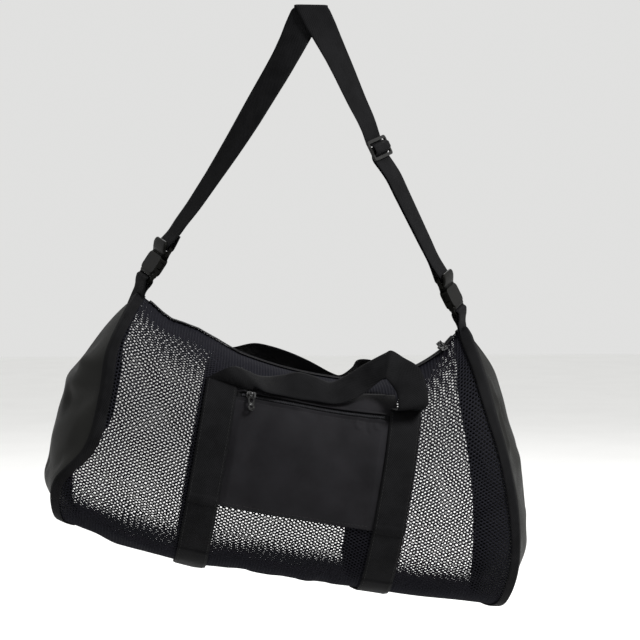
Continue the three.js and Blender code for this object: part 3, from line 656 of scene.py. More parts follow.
class Shade:
    """One procedural material and the nodes that feed its shader."""

    def __init__(self, name, specular, **constants):
        self.material = bpy.data.materials.new(name)
        self.material.use_nodes = True
        self.tree = self.material.node_tree
        self.shader = self.tree.nodes["Principled BSDF"]
        self.shader.inputs["Specular IOR Level"].default_value = specular
        for key, value in constants.items():
            self.shader.inputs[key.replace("_", " ")].default_value = value

    def feed(self, socket, value):
        if isinstance(value, bpy.types.NodeSocket):
            self.tree.links.new(value, socket)
        else:
            socket.default_value = value

    def node(self, kind, inputs):
        """A new node, whose inputs are values or the outputs of other nodes."""
        made = self.tree.nodes.new(f"ShaderNode{kind}")
        for key, value in inputs.items():
            self.feed(made.inputs[key], value)
        return made

    def math(self, operation, a, b=0.0):
        made = self.node("Math", {0: a, 1: b})
        made.operation = operation
        return made.outputs[0]

    def uv(self):
        place = self.node("UVMap", {}).outputs[0]
        return self.node("SeparateXYZ", {0: place}).outputs[:2]

    def noise(self, scale, detail):
        place = self.node("TexCoord", {}).outputs["Object"]
        return self.node("TexNoise", {"Vector": place, "Scale": scale, "Detail": detail}).outputs[0]

    def wave(self, place, pitch):
        return self.math("SINE", self.math("MULTIPLY", place, 2 * math.pi / pitch))

    def colour(self, share, low, high):
        ramp = self.node("ValToRGB", {0: share})
        for element, position, tone in zip(ramp.color_ramp.elements, RAMP, (low, high)):
            element.position = position
            element.color = (*tone, 1)
        self.feed(self.shader.inputs["Base Color"], ramp.outputs[0])

    def rough(self, share, low, high):
        spread = self.math("ADD", self.math("MULTIPLY", share, high - low), low)
        self.feed(self.shader.inputs["Roughness"], spread)

    def bump(self, height, strength, distance):
        made = self.node("Bump", {"Height": height, "Strength": strength, "Distance": distance})
        self.feed(self.shader.inputs["Normal"], made.outputs[0])

    def scuffed(self, scale, detail, low, high, rough):
        """Noise that changes the colour and the roughness. It is returned for a bump."""
        scuff = self.noise(scale, detail)
        self.colour(scuff, low, high)
        self.rough(scuff, *rough)
        return scuff

    def woven(self, pitches, seen, scale, detail, low, high, rough, bump):
        """A plain weave, over and under by turns, which is rubbed in places."""
        across, along = (self.wave(place, pitch) for place, pitch in zip(self.uv(), pitches))
        weave = self.math("MULTIPLY", across, along)
        rub = self.noise(scale, detail)
        self.colour(self.math("ADD", rub, self.math("MULTIPLY", weave, seen)), low, high)
        self.rough(rub, *rough)
        self.bump(weave, *bump)


def webbing_material():
    shade = Shade("webbing", specular=0.04)
    low, high = (0.0011, 0.0011, 0.0013), (0.0042, 0.0042, 0.0046)
    pitches, bump = (0.0026, 0.0030), (0.5, 0.0004)
    shade.woven(pitches, seen=0.12, scale=55, detail=5, low=low, high=high, rough=(0.55, 0.85), bump=bump)
    return shade.material


def mesh_material():
    shade = Shade("mesh_cloth", specular=0.05)
    low, high = (0.002, 0.002, 0.003), (0.007, 0.007, 0.010)
    thread = shade.scuffed(scale=900, detail=2, low=low, high=high, rough=(0.55, 0.8))
    shade.bump(thread, strength=0.4, distance=0.0003)
    return shade.material


def coated_material():
    shade = Shade("coated_cloth", specular=0.1)
    low, high = (0.0015, 0.0015, 0.0012), (0.0042, 0.0042, 0.0034)
    pitches, bump = (0.0011, 0.0011), (0.35, 0.00015)
    shade.woven(pitches, seen=0.08, scale=22, detail=4, low=low, high=high, rough=(0.42, 0.62), bump=bump)
    return shade.material


def pocket_material():
    shade = Shade("pocket_cloth", Sheen_Weight=0.01, Sheen_Roughness=0.45, specular=0.06)
    low, high = (0.0028, 0.0026, 0.0032), (0.0066, 0.0063, 0.0074)
    pitches, bump = (0.0014, 0.0014), (0.4, 0.0002)
    shade.woven(pitches, seen=0.1, scale=30, detail=4, low=low, high=high, rough=(0.6, 0.8), bump=bump)
    return shade.material


def coil_material():
    shade = Shade("zip_coil", specular=0.02)
    # Painted light: the coil is near-black, like the webbing, but its colour is painted several times
    # lighter to make up for the shade between the pocket zip's lips; the top zip's teeth share this lighter
    # colour
    low, high = (0.010, 0.010, 0.011), (0.024, 0.024, 0.026)
    shade.scuffed(scale=400, detail=2, low=low, high=high, rough=(0.4, 0.6))
    return shade.material


def plastic_material():
    shade = Shade("moulded_plastic", specular=0.03)
    low, high = (0.0010, 0.0010, 0.0008), (0.0028, 0.0028, 0.0023)
    shade.scuffed(scale=90, detail=4, low=low, high=high, rough=(0.28, 0.42))
    grain = shade.noise(scale=1600, detail=2)
    shade.bump(grain, strength=0.15, distance=0.0001)
    return shade.material


def smooth_plastic_material():
    shade = Shade("smooth_plastic", specular=0.2)
    low, high = (0.0030, 0.0030, 0.0028), (0.0070, 0.0070, 0.0066)
    shade.scuffed(scale=120, detail=4, low=low, high=high, rough=(0.35, 0.5))
    return shade.material


def metal_material():
    shade = Shade("painted_metal", specular=0.35)
    low, high = (0.004, 0.004, 0.004), (0.011, 0.011, 0.011)
    shade.scuffed(scale=220, detail=4, low=low, high=high, rough=(0.32, 0.5))
    return shade.material


def thread_material():
    shade = Shade("thread", specular=0.1, Roughness=0.7)
    twist = shade.noise(scale=1500, detail=1)
    shade.colour(twist, low=(0.006, 0.006, 0.006), high=(0.016, 0.016, 0.016))
    return shade.material


def floor_material():
    shade = Shade("pale_floor", specular=0.2)
    low, high = (0.93, 0.93, 0.92), (0.96, 0.96, 0.95)
    shade.scuffed(scale=3, detail=2, low=low, high=high, rough=(0.75, 0.9))
    return shade.material


WEBBING = webbing_material()
MESH_CLOTH = mesh_material()
COATED = coated_material()
POCKET_CLOTH = pocket_material()
COIL = coil_material()
PLASTIC = plastic_material()
SMOOTH_PLASTIC = smooth_plastic_material()
METAL = metal_material()
THREAD = thread_material()


# The open mesh

def hole_cells(down_from, down_to, hole, turned):
    """Points and faces of the mesh between two places down the cloth.

    Each hole is a hexagon in a six-sided cell. Rows of holes run along the bag, or down it when turned.
    """
    spacing = HOLE_PITCH * math.sqrt(3) / 2
    u_range, v_range = (-MESH_HALF, MESH_HALF), (down_from, down_to)
    half_u, half_v = hole.along, hole.down
    if turned:
        u_range, v_range = v_range, u_range
        half_u, half_v = half_v, half_u
    columns = np.arange(int(u_range[0] / HOLE_PITCH) - 2, int(u_range[1] / HOLE_PITCH) + 3)
    rows = np.arange(int(v_range[0] / spacing) - 2, int(v_range[1] / spacing) + 3)
    u = columns[None, :] * HOLE_PITCH + (rows % 2)[:, None] * HOLE_PITCH / 2
    v = np.broadcast_to(rows[:, None] * spacing, u.shape)

    def place(u_at, v_at, lift):
        along, down = (v_at, u_at) if turned else (u_at, v_at)
        return on_bag(cloth(along, line_at(np.clip(down, 0, WHOLE_DOWN)), lift))

    upper = place(u, v - spacing * 2 / 3, 0.0)
    lower = place(u, v + spacing * 2 / 3, 0.0)
    angles = np.radians(-90 + 60 * np.arange(6))
    rim = [place(u + half_u * math.cos(t), v + half_v * math.sin(t), -hole.sink) for t in angles]
    points = np.concatenate([part.reshape(-1, 3) for part in (upper, lower, *rim)])

    along, down = (v, u) if turned else (u, v)
    line = line_at(np.clip(down, 0, WHOLE_DOWN))
    inside = (down >= down_from) & (down < down_to)
    inside &= along > curve_at(SECTIONS["left"], line)[..., 0] + MESH_EDGE
    inside &= along < curve_at(SECTIONS["right"], line)[..., 0] - MESH_EDGE
    j, i = np.nonzero(inside)
    right = i + rows[j] % 2
    left = right - 1
    count = u.size
    width = len(columns)
    corners = [
        j * width + i,
        count + (j - 1) * width + right,
        (j + 1) * width + right,
        count + j * width + i,
        (j + 1) * width + left,
        count + (j - 1) * width + left,
    ]
    holes = [(2 + k) * count + j * width + i for k in range(6)]
    quads = []
    for k in range(6):
        after = (k + 1) % 6
        quads.append(np.stack([corners[k], holes[k], holes[after], corners[after]], axis=-1))
    faces = np.concatenate(quads)
    if turned:
        faces = faces[:, ::-1]
    used, faces = np.unique(faces, return_inverse=True)
    return points[used], faces.reshape(-1, 4)


def mesh_panels():
    bottom = WHOLE_DOWN / 2
    front = hole_cells(0.0, bottom, FRONT_HOLE, turned=True)
    back = hole_cells(bottom, WHOLE_DOWN, BACK_HOLE, turned=False)
    piece("mesh_front", *front, MESH_CLOTH, "mesh_cloth", ["mesh_body"])
    piece("mesh_back", *back, MESH_CLOTH, "mesh_cloth", ["mesh_body"])


# End panels and the tape over their seams

def panel_point(end, seam_point, ring, lift):
    """A place on the dome between the seam and the tip."""
    tip_along = end.tip[0]
    point = end.tip + (seam_point - end.tip) * ring[..., None]
    dome = (seam_point[..., 0] - tip_along) * ring ** PANEL.dome
    point[..., 0] = tip_along + dome + end.outward * lift
    return point


def end_cloth(side):
    """A cloth dome with folds, that closes at the tip."""
    end = ENDS[side]
    seam = seam_points(side, np.linspace(0, LAST_LINE, SEAM_STEPS))
    closing = np.linspace(seam[-1], seam[0], PANEL.closing)[1:-1]
    seam = np.concatenate([seam, closing])
    rings = np.linspace(1, PANEL.last_ring, PANEL.rings)[:, None]
    plain = panel_point(end, seam[None], rings, GAP)
    depth, height = plain[..., 1], plain[..., 2]
    rise = crease_rise(depth, height, PANEL_FOLDS[side]) + ripple(PANEL_RIPPLE, depth, height)
    slack = smooth((1 - rings) / PANEL.taut)
    plain[..., 0] += end.outward * slack * rise
    outer = plain + [end.outward * PANEL.thick, 0, 0]
    grid = np.concatenate([outer[::-1], plain])
    faces = tube_faces(*grid.shape[:2])
    if end.outward < 0:
        faces = [face[::-1] for face in faces]
    uv = grid[..., 1:] * MM
    piece(f"end_cloth_{side}", on_bag(grid), faces, COATED, "coated_cloth", [f"end_panel_{side}"], uv=uv)


def binding_profile(end, seam_point, line, extra):
    """Corners of the tape's section: on the wrap, round the seam, and on the end panel."""
    lift = BINDING.lift + extra
    foot = GAP + PANEL.thick + lift
    on_wrap = cloth(seam_point[..., 0] - end.outward * BINDING.reach, line, lift)
    corner = cloth(seam_point[..., 0] + end.outward * foot, line, lift)
    on_panel = panel_point(end, seam_point, np.full(len(line), PANEL.fold_ring), foot)
    return np.stack([on_wrap, corner, on_panel], axis=1)


def seam_tape(side):
    """Tape over a seam, closed across the ridge."""
    lines = np.linspace(0, LAST_LINE, SEAM_STEPS)
    corners = binding_profile(ENDS[side], seam_points(side, lines), lines, BINDING.thick / 2)
    over_ridge = np.linspace(corners[-1], corners[0], BINDING.closing)[1:]
    first, second, third = np.concatenate([corners, over_ridge]).transpose(1, 0, 2)[:, :, None]
    share = np.linspace(0, 1, WEB_COLUMNS)[None, :, None]
    rounded = first * (1 - share) ** 2 + second * 2 * share * (1 - share) + third * share**2
    inner_half = first + (second - first) * 2 * share
    outer_half = second + (third - second) * (2 * share - 1)
    straight = np.where(share < 0.5, inner_half, outer_half)
    middle = on_bag(straight + (rounded - straight) * BINDING.round)
    strip(f"seam_tape_{side}", middle, BINDING.thick, [f"seam_binding_{side}"])


# Zips

def zip_teeth(name, centres, across, out, sizes, stands_for):
    """A row of coil turns: short rounded bars across the zip, shifted to either side by turns."""
    middles, sides, ups = spaced(centres, TOOTH.pitch, 0, centres, across, out)
    sides = unit(sides)
    shifts = np.where(np.arange(len(middles)) % 2, TOOTH.shift, -TOOTH.shift)[:, None]
    long = sizes.coil_width / 2 - TOOTH.shift
    half_sizes = (long, TOOTH.pitch * TOOTH.half, sizes.coil_thick / 2)
    middles = middles + sides * shifts
    points, faces = bar_row(middles, sides, unit(ups), TOOTH_RINGS, half_sizes, TOOTH.sides)
    piece(name, on_bag(points), faces, COIL, "zip_coil", stands_for)


def ridge(steps, lift):
    """Places along the top zip, on the middle of the ridge."""
    along = np.linspace(TOP_ZIP.start, TOP_ZIP.end, steps)
    front, back = (skin(along, line) + skin_normal(along, line) * lift for line in (0, LAST_LINE))
    middle = (front + back) / 2
    middle[:, 1] = 0
    middle[:, 2] += ridge_rise(along)
    return middle


def top_zip():
    thick = TOP_ZIP.tape_thick
    tape = ridge(TOP_ZIP.tape_steps, SKIN_LIFT + thick / 2)[:, None]
    across = np.zeros((TOP_ZIP.tape_columns, 3))
    across[:, 1] = np.linspace(-0.5, 0.5, len(across)) * TOP_ZIP.tape_width
    strip("top_zip_web", on_bag(tape + across), thick, ["top_zip_tape"])
    coil_lift = SKIN_LIFT + thick + TOP_ZIP.coil_thick / 2 - TOP_ZIP.coil_sunk
    centres = ridge(TOP_ZIP.coil_steps, coil_lift)
    across = np.broadcast_to([0.0, 1.0, 0.0], centres.shape)
    out = unit(np.cross(np.gradient(centres, axis=0), across))
    zip_teeth("top_zip_teeth", centres, across, out, TOP_ZIP, ["top_zip_coil"])


# Front pocket, sewn between the two bands

def pocket_alongs(inset, steps):
    start = BAND.left + WEB_WIDTH / 2 + inset
    end = BAND.right - WEB_WIDTH / 2 - inset
    return np.linspace(start, end, steps)


def pocket_lift(sheet, along, line):
    """Height of the inner face of one sheet of the pocket above the wrap."""
    start, end = pocket_alongs(0, 2)
    i = np.clip((along - start) / (end - start), 0, 1)
    j = (line - sheet.top) / (sheet.bottom - sheet.top)
    bulge = np.sin(math.pi * i) * np.sin(math.pi * j)
    side = smooth(np.minimum(i, 1 - i) / POCKET_EDGE.side)
    edge = side * smooth(np.minimum(j, 1 - j) / POCKET_EDGE.top)
    lift = POCKET_TUCK.lift + (POCKET.lift - POCKET_TUCK.lift) * side
    wrinkles = ripple(POCKET_RIPPLE, along, line) + ripple(POCKET_PLEAT, along, line)
    lift = lift + sheet.puff * bulge + edge * (POCKET_EDGE.rise + wrinkles)
    zip_half = down_at(ZIP_EDGES.lower) - down_at(POCKET.zip)
    from_zip = np.abs(down_at(line) - down_at(POCKET.zip)) - zip_half
    hem = LIP.rise * np.exp(-((from_zip / LIP.width) ** 2))
    hem = hem - LIP.groove * np.exp(-(((from_zip - LIP.groove_at) / LIP.groove_width) ** 2))
    return lift + side * (hem + crease_rise(along, down_at(line), POCKET_CREASES))


def pocket_sheet(name, sheet, stands_for):
    lines = np.linspace(sheet.top, sheet.bottom, sheet.rows)[:, None]
    along = pocket_alongs(-POCKET_TUCK.reach, POCKET.columns)[None]
    lift = pocket_lift(sheet, along, lines)
    outer = on_bag(cloth(along, lines, lift + POCKET.thick))
    inner = on_bag(cloth(along, lines, lift))
    points, faces = closed_sheet(outer, inner)
    uv = [measured_uv(outer)] * 2
    piece(name, points, faces[:, ::-1], POCKET_CLOTH, "pocket_cloth", stands_for, uv=uv)


def pocket_zip():
    line, half, thick = POCKET.zip, POCKET_ZIP.tape_half, POCKET_ZIP.tape_thick
    along = pocket_alongs(0, POCKET_ZIP.tape_steps)[:, None]
    lines = np.linspace(line - half, line + half, POCKET_ZIP.tape_columns)[None]
    strip("pocket_zip_web", on_bag(cloth(along, lines, SKIN_LIFT + thick / 2)), thick, ["pocket_zip_tape"])
    along = pocket_alongs(POCKET_ZIP.end_inset, POCKET_ZIP.coil_steps)
    centres = cloth(along, line, SKIN_LIFT + thick + GAP + POCKET_ZIP.coil_thick / 2)
    out = skin_normal(along, line)
    across = np.cross(out, np.gradient(centres, axis=0))
    zip_teeth("pocket_zip_teeth", centres, across, out, POCKET_ZIP, ["pocket_zip_coil"])


def pocket():
    pocket_sheet("pocket_front", POCKET_FRONT, ["pocket_panel"])
    pocket_sheet("pocket_strip", POCKET_STRIP, ["pocket_upper"])
    pocket_zip()


# Handles: each is one length of webbing, with bands that meet under the bag

def band_lift(lines):
    """Middle of the webbing above the cloth: the bands pass over the sides of the pocket."""
    to_end = POCKET.bottom + BAND.past_pocket - lines
    over = smooth((lines - POCKET.top + BAND.over_start) / BAND.over_run)
    over = over * smooth(to_end / BAND.over_end) * (POCKET_TUCK.lift + POCKET.thick)
    hem = smooth((lines - BAND.hem) / BAND.hem_run) * smooth(to_end / BAND.hem_end)
    lap = smooth((np.minimum(lines, LAST_LINE - lines) - BAND.lap) / BAND.lap_run)
    return BAND.lift + over + BAND.hem_rise * hem + BAND.lap_rise * lap


def band_sections(along, lines, side_sign):
    across = np.linspace(-WEB_WIDTH / 2, WEB_WIDTH / 2, WEB_COLUMNS) * side_sign
    return cloth(along + across[None, :], lines[:, None], band_lift(lines)[:, None])


def arch_sections(rows, first, last):
    """The free webbing between two bands, drawn between its upper and its lower edge."""
    spans = len(rows) + 1
    at = np.linspace(0, spans, spans * ARCH.steps + 1)[1:-1]
    upper = curve_at([first[0], *(row.upper for row in rows), last[0]], at)
    lower = curve_at([first[-1], *(row.lower for row in rows), last[-1]], at)
    share = np.linspace(0, 1, WEB_COLUMNS)[None, :, None]
    flat = upper[:, None] + (lower - upper)[:, None] * share
    out = unit(np.cross(np.gradient((upper + lower) / 2, axis=0), lower - upper))
    curl = ARCH.curl * np.sin(np.linspace(0, math.pi, len(at)))[:, None, None]
    return flat + out[:, None] * (curl * ((2 * share - 1) ** 2 - ARCH.level))


def handle(name, arch, start, end, stands_for):
    lines = np.linspace(start, end, BAND.steps)
    left = band_sections(BAND.left, lines, 1)
    right = band_sections(BAND.right, lines[::-1], -1)
    free = arch_sections(arch, left[-1], right[0])
    strip(name, on_bag(np.concatenate([left, free, right])), WEB_THICK, stands_for)


def handles():
    bottom, gap, top = LAST_LINE / 2, BAND.bottom_gap, BAND.top
    handle("grip_front", FRONT_ARCH, bottom - gap, top, ["handle_front"])
    handle("grip_back", BACK_ARCH, bottom + gap, LAST_LINE - top, ["handle_back"])


# Shoulder strap: two runs that spread from the fold and twist on their way to the buckles

def strap_run(bar, twist, bow, depth_sign):
    length = np.linalg.norm(bar)
    axis = bar / length
    across = np.array([-axis[2], 0.0, axis[0]])
    return Values(
        bar=bar, length=length, axis=axis, across=across, twist=twist, bow=bow, depth_sign=depth_sign,
    )


RUNS = {
    "left": strap_run(LEFT_BAR, TWIST_LEFT, LEFT_BOW, -1),
    "right": strap_run(RIGHT_BAR, TWIST_RIGHT, RIGHT_BOW, 1),
}


def run_side(run, distance):
    """Half the webbing's width, across a run."""
    twist = math.radians(np.interp(distance / run.length, *zip(*run.twist)))
    twisted = run.across * math.cos(twist)
    twisted[1] = run.depth_sign * math.sin(twist)
    along_fold = np.array([1 / run.across[0], 0.0, 0.0])
    return (along_fold + (twisted - along_fold) * smooth(distance / FOLD.spread)) * WEB_WIDTH / 2


def run_station(run, distance, offset):
    """Centre and half width of the webbing on a run, some way out from its middle."""
    side = run_side(run, distance)
    out = unit(np.cross(run.axis, side))
    share = min(1.0, distance / run.length)
    bow = run.across * run.bow * math.sin(math.pi * share)
    return run.axis * distance + out * offset + bow, side


def bar_turn(run):
    length, radius = run.length, BAR_TURN.radius
    return [run_station(run, length + radius * math.sin(t), radius * math.cos(t)) for t in TURN_ANGLES]


def layer_offset(run, distance):
    spread = smooth(1 - (run.length - distance) / BAR_TURN.blend)
    return LAYER + (BAR_TURN.radius - LAYER) * spread


def distances(start, end):
    return np.linspace(start, end, math.ceil(abs(end - start) / RUN_STEP) + 1)


def layer(run, start, end, face):
    return [run_station(run, d, face * layer_offset(run, d)) for d in distances(start, end)]


def weave(rows):
    return [run_station(RUNS["right"], SLIDER_AT + row.place, row.offset) for row in rows]


def strap_fold():
    side = np.array([WEB_WIDTH / 2 / RUNS["right"].across[0], 0.0, 0.0])
    stations = []
    for angle in np.linspace(0, math.pi, FOLD.steps + 1):
        height = FOLD_RADIUS * math.sin(angle) - FOLD.inner
        stations.append((np.array([0, -FOLD_RADIUS * math.cos(angle), height]), side))
    return stations


def free_run(run, start, end, face):
    """Near the fold one run passes in front of the other."""
    stations = []
    for distance in distances(start, end):
        near_fold = 1 - smooth((distance - FOLD.apart) / FOLD.apart)
        stations.append(run_station(run, distance, face * FOLD_RADIUS * near_fold))
    return stations


def web_grid(stations, steps):
    """A smooth grid of webbing in metres through stations, each with its centre and its half width."""
    centres, sides = (np.array(column) for column in zip(*stations))
    at = np.linspace(0, len(stations) - 1, (len(stations) - 1) * steps + 1)
    start = np.minimum(at.astype(int), len(stations) - 2)
    share = (at - start)[:, None]
    side = sides[start] * (1 - share) + sides[start + 1] * share
    across = np.linspace(-1, 1, WEB_COLUMNS)
    return (curve_at(centres, at)[:, None] + side[:, None] * across[None, :, None]) * MM


def shoulder_strap():
    left, right = RUNS["left"], RUNS["right"]
    below, above = SLIDER_AT + SLIDER_REACH.below, SLIDER_AT - SLIDER_REACH.above
    right_turn, left_turn = right.length - BAR_TURN.start, left.length - BAR_TURN.start
    sewn_from = left.length - SEWN_END.length
    doubled = sewn_from - SEWN_END.blend
    stations = [
        *weave(SEWN_LOOP),
        *layer(right, below, right_turn, -1),
        *reversed(bar_turn(right)),
        *layer(right, right_turn, below, 1),
        *weave(WEAVE),
        *free_run(right, above, FOLD.near, 1),
        *strap_fold(),
        *free_run(left, FOLD.near, doubled - RUN_STEP, -1),
        *layer(left, doubled, left_turn, 1),
        *bar_turn(left),
        *layer(left, left_turn, sewn_from, -1),
    ]
    strip("strap_webbing", web_grid(stations, STATION_STEPS), WEB_THICK, ["shoulder_strap"])


def buckle_frame(side):
    """Origin at the strap's bar, and the directions of width, run and face of a buckle."""
    run = RUNS[side]
    lean = math.radians(BUCKLE_LEAN[side])
    across = unit(run_side(run, run.length))
    axis = np.array([math.copysign(math.sin(lean), run.bar[0]), 0.0, -math.cos(lean)])
    out = unit(np.cross(axis, across))
    return run.bar, np.cross(axis, out), axis, out


def strap_tab(side):
    """Doubled webbing round the socket's bar, with both ends sewn into the corner of the bag."""
    origin, width, axis, out = buckle_frame(side)
    bar = origin + axis * BAR_TO_BAR
    corner = ENDS[side].seam[0]
    sewn_along = corner.along + ENDS[side].outward * TAB.beyond
    run = on_bag((sewn_along, 0.0, corner.height - TAB.sunk)) / MM - bar
    turned = np.array(TAB_TURN[side])
    turned = turned * math.copysign(1, turned @ width)
    radius = TAB.radius

    def station(share, face):
        apart = TAB.apart + (radius - TAB.apart) * (1 - smooth(share / TAB.joined))
        half = unit(width + (turned - width) * share) * WEB_WIDTH / 2
        lifted = unit(np.cross(run, half))
        lifted = lifted * math.copysign(1, lifted @ out)
        return bar + run * share + lifted * face * apart, half

    turn = []
    for angle in TURN_ANGLES:
        centre = bar - axis * radius * math.sin(angle) - out * radius * math.cos(angle)
        turn.append((centre, width * WEB_WIDTH / 2))
    shares = np.linspace(TAB.first, 1, TAB.stations)
    stations = [*(station(t, -1) for t in shares[::-1]), *turn, *(station(t, 1) for t in shares)]
    strip(f"tab_{side}", web_grid(stations, TAB.steps), WEB_THICK, [f"strap_tab_{side}"])


# Hard pieces: the solids with their edges rounded

def collar(side, rows):
    """A rounded bar across a buckle, lofted through rows of its half width and its thickness."""
    origin, width, axis, out = buckle_frame(side)
    angles = round_angles(COLLAR.sides)
    cos, sin = np.cos(angles), np.sin(angles)
    across = np.outer(np.sign(cos) * np.abs(cos) ** COLLAR.across_power, width)
    through = np.outer(np.sign(sin) * np.abs(sin) ** COLLAR.through_power, out)
    rings = []
    for row in rows:
        centre = origin + axis * row.at + out * row.out
        rings.append(centre + across * row.half + through * row.thick / 2)
    return np.concatenate(rings) * MM, tube_faces(len(rows), COLLAR.sides)


def rounded_copy(name, node, radius, material, more=()):
    """A solid with its sharp edges rounded, and more points and faces added to it."""
    source = bmesh.new()
    source.from_mesh(frame["nodes"][node].data)
    bmesh.ops.remove_doubles(source, verts=source.verts, dist=ROUNDING.merge)
    bmesh.ops.dissolve_limit(source, angle_limit=ROUNDING.flat, verts=source.verts, edges=source.edges)
    sharp = []
    for edge in source.edges:
        if len(edge.link_faces) == 2 and edge.calc_face_angle() > ROUNDING.sharp:
            sharp.append(edge)
    segments = ROUNDING.segments
    bmesh.ops.bevel(source, geom=sharp, offset=radius, segments=segments, affect="EDGES", clamp_overlap=True)
    for points, faces in more:
        made_points = [source.verts.new(point) for point in points]
        for face in faces:
            source.faces.new([made_points[k] for k in face])
    for face in source.faces:
        face.smooth = True
    mesh = bpy.data.meshes.new(name)
    source.to_mesh(mesh)
    source.free()
    made = placed(name, mesh, material, [node], "bag")
    weighted = made.modifiers.new("even shading", "WEIGHTED_NORMAL")
    weighted.weight = ROUNDING.weight


def plate(loops):
    """Points and faces of a tag with rounded edges. The first loop is its outline, the others are holes."""
    half, bevel = TAG.thick / 2, TAG.bevel
    part = bevel * TAG.bevel_share
    levels = [(bevel, half), (part, half - part), (0.0, half - bevel)]
    levels = levels + [(inset, -height) for inset, height in reversed(levels)]
    points, faces, tops = [], [], []
    for loop in loops:
        ahead = unit(np.roll(loop, -1, axis=0) - np.roll(loop, 1, axis=0))
        inward = np.stack([-ahead[:, 1], ahead[:, 0]], axis=-1)
        base = sum(len(ring) for ring in points)
        for inset, height in levels:
            points.append(np.column_stack([loop + inward * inset, np.full(len(loop), height)]))
        faces.extend((grid_faces(len(levels), len(loop), wrap=True) + base).tolist())
        tops.append(base + np.arange(len(loop)))
    points = np.concatenate(points)
    flat = [[Vector(point) for point in points[top]] for top in tops]
    order = np.concatenate(tops)
    under = np.concatenate([top + (len(levels) - 1) * len(top) for top in tops])
    for triangle in tessellate_polygon(flat):
        faces.append([int(order[k]) for k in triangle])
        faces.append([int(under[k]) for k in reversed(triangle)])
    return points, faces


def oval(half_width, half_height, down, steps):
    """A hole's loop, which turns against the outline."""
    angles = -round_angles(steps)
    return np.column_stack([half_width * np.cos(angles), half_height * np.sin(angles) - down])


def tag_loops():
    """Outline, slot and hole of a zip's tag, which hangs down from its pin."""
    knob = np.linspace(TAG.knob_from, -TAG.knob_from, TAG.knob_steps)
    round_end = np.column_stack([np.sin(knob), -np.cos(knob)]) * TAG.knob - [0, TAG.knob_at]
    left = np.array([(-row.half, -row.down) for row in TAG_SIDES])
    right = left[::-1] * [-1, 1]
    outline = np.concatenate([left, round_end, right])
    slot = oval(TAG.slot_half, TAG.slot_length / 2, TAG.slot_at, TAG.slot_steps)
    hole = oval(TAG.hole, TAG.hole, TAG.knob_at, TAG.hole_steps)
    return [outline, slot, hole]


def zip_tag(name, node, body):
    """A zip's pull: an eye round the pin, a slotted leaf and a round knob with a hole."""
    joint = next(found for found in frame["joints"] if found["child"] == body)
    pin, along_pin = np.array(joint["pos_m"]), unit(np.array(joint["axis"]))
    mesh = frame["nodes"][node].data
    corners = np.zeros(len(mesh.vertices) * 3)
    mesh.vertices.foreach_get("co", corners)
    up = pin - corners.reshape(-1, 3).mean(axis=0)
    up = unit(up - along_pin * (up @ along_pin))
    axes = np.stack([along_pin, up, np.cross(along_pin, up)])
    leaf_points, faces = plate(tag_loops())
    angles = round_angles(EYE_SIDES)
    eye = []
    for row in EYE_PROFILE:
        circle = row.radius * np.column_stack([np.cos(angles), np.sin(angles)])
        eye.append(np.column_stack([np.full(EYE_SIDES, row.at), circle]))
    eye_faces = grid_faces(len(eye), EYE_SIDES, wrap=True, close=True) + len(leaf_points)
    points = pin + np.concatenate([leaf_points, *eye]) @ axes * MM
    piece(name, points, faces + eye_faces.tolist(), METAL, "painted_metal", [node], body)


def hard_pieces():
    for side in ENDS:
        plug, socket = f"buckle_{side}_plug", f"buckle_{side}_socket"
        on_plug = [collar(side, PLUG_COLLAR), collar(side, PLUG_HOOD)]
        on_socket = [collar(side, SOCKET_COLLAR)]
        rounded_copy(f"buckle_{side}_prongs", plug, EDGE_RADIUS.plug, PLASTIC, on_plug)
        rounded_copy(f"buckle_{side}_shell", socket, EDGE_RADIUS.socket, PLASTIC, on_socket)
    rounded_copy("strap_slide", "strap_slider", EDGE_RADIUS.slide, SMOOTH_PLASTIC)
    for name in ("top", "pocket"):
        slider = f"{name}_zip_slider"
        rounded_copy(f"{name}_zip_runner", slider, EDGE_RADIUS.runner, METAL)
    for name in ("top", "pocket"):
        zip_tag(f"{name}_zip_tag", f"{name}_zip_pull", f"{name}_pull")


# Stitches

def stitch_row(points, normals):
    """Points and faces of a row of stitches along a line of points in metres."""
    pitch = (STITCH.length + STITCH.gap) * MM
    middles, runs, ups = spaced(points, pitch, pitch / 2, points, np.gradient(points, axis=0), normals)
    half_sizes = np.array([STITCH.length / 2, STITCH.radius, STITCH.radius]) * MM
    return bar_row(middles, unit(runs), unit(ups), STITCH_RINGS, half_sizes, STITCH.sides)


def stitches_on_cloth(along, lines, lift):
    top = on_bag(cloth(along, lines, lift))
    above = on_bag(cloth(along, lines, lift + 1))
    return stitch_row(top, above - top)


def sewn(name, rows, slot):
    """One piece from several rows of stitches."""
    points, faces = [], []
    for row_points, row_faces in rows:
        faces += [[len(points) + k for k in face] for face in row_faces]
        points += row_points.tolist()
    piece(name, points, faces, THREAD, slot)


def band_stitches():
    rows = []
    bottom, gap, top = LAST_LINE / 2, BAND.stitch_gap, BAND.top
    inset = WEB_WIDTH / 2 - STITCH.inset
    for start, end in ((top, bottom - gap), (bottom + gap, LAST_LINE - top)):
        lines = np.linspace(start, end, STITCH.steps)
        for band in (BAND.left, BAND.right):
            for edge in (-inset, inset):
                rows.append(stitches_on_cloth(band + edge, lines, band_lift(lines) + WEB_THICK / 2))
    sewn("band_stitches", rows, "webbing")


def pocket_stitches():
    rows = []
    along = pocket_alongs(STITCH.inset, STITCH.steps)
    for seam in POCKET_SEAMS:
        lift = pocket_lift(seam.sheet, along, seam.line) + POCKET.thick
        rows.append(stitches_on_cloth(along, seam.line, lift))
    sewn("pocket_stitches", rows, "pocket_cloth")


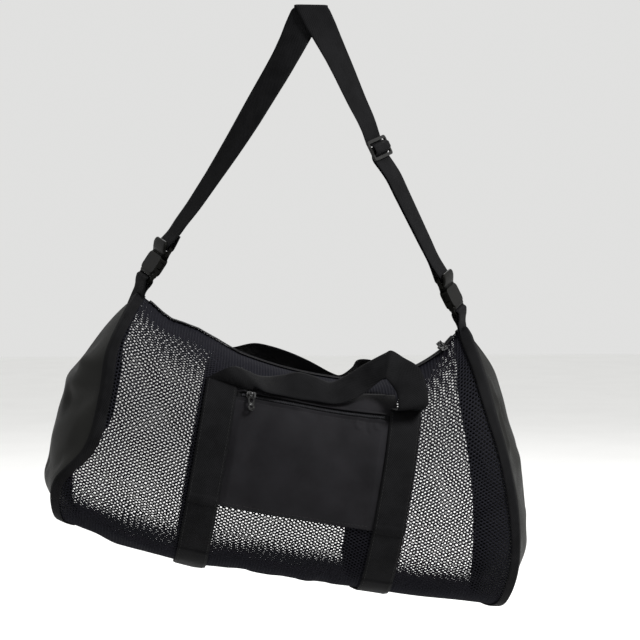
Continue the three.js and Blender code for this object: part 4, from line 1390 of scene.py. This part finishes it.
def strap_stitches():
    """Rows across the end of the strap that is sewn to itself above the left buckle."""
    run = RUNS["left"]
    rows = []
    across = np.linspace(-SEWN_END.inset, SEWN_END.inset, SEWN_END.steps)[:, None]
    for past_end in SEWN_END.rows:
        distance = run.length - SEWN_END.length + past_end
        for face in (-1, 1):
            centre, side = run_station(run, distance, face * (layer_offset(run, distance) + WEB_THICK / 2))
            out = face * unit(np.cross(run.axis, side))
            rows.append(stitch_row((centre + side * across) * MM, np.broadcast_to(out, (len(across), 3))))
    sewn("strap_stitches", rows, "webbing")


# Stage, light and camera

def stage():
    bpy.ops.mesh.primitive_plane_add(size=FLOOR.size, location=(0, 0, FLOOR.height))
    floor = bpy.context.object
    floor.name = "floor"
    floor.data.materials.append(floor_material())


def area_light(row):
    data = bpy.data.lights.new(row.name, "AREA")
    data.shape = "DISK"
    data.size = row.size
    data.energy = row.watts
    lamp = bpy.data.objects.new(row.name, data)
    lamp.location = row.place
    lamp.rotation_euler = (LIGHT_TARGET - lamp.location).to_track_quat("-Z", "Y").to_euler()
    bpy.context.scene.collection.objects.link(lamp)


def lights():
    for row in LIGHTS:
        area_light(row)
    world = bpy.data.worlds.new("studio")
    world.use_nodes = True
    background = world.node_tree.nodes["Background"]
    background.inputs["Color"].default_value = WORLD.colour
    background.inputs["Strength"].default_value = WORLD.strength
    bpy.context.scene.world = world
    bpy.context.scene.view_settings.view_transform = "Standard"


def camera():
    azimuth, elevation = math.radians(CAMERA.azimuth), math.radians(CAMERA.elevation)
    level = math.cos(elevation)
    back = Vector((math.sin(azimuth) * level, -math.cos(azimuth) * level, math.sin(elevation)))
    data = bpy.data.cameras.new("camera")
    data.lens = CAMERA.lens
    data.sensor_width = CAMERA.sensor
    made = bpy.data.objects.new("camera", data)
    made.location = CAMERA_TARGET + back * CAMERA.distance
    made.rotation_euler = (-back).to_track_quat("-Z", "Y").to_euler()
    bpy.context.scene.collection.objects.link(made)
    bpy.context.scene.camera = made


camera()
mesh_panels()
for end_side in ENDS:
    end_cloth(end_side)
    seam_tape(end_side)
    strap_tab(end_side)
top_zip()
pocket()
handles()
shoulder_strap()
hard_pieces()
band_stitches()
pocket_stitches()
strap_stitches()
stage()
lights()
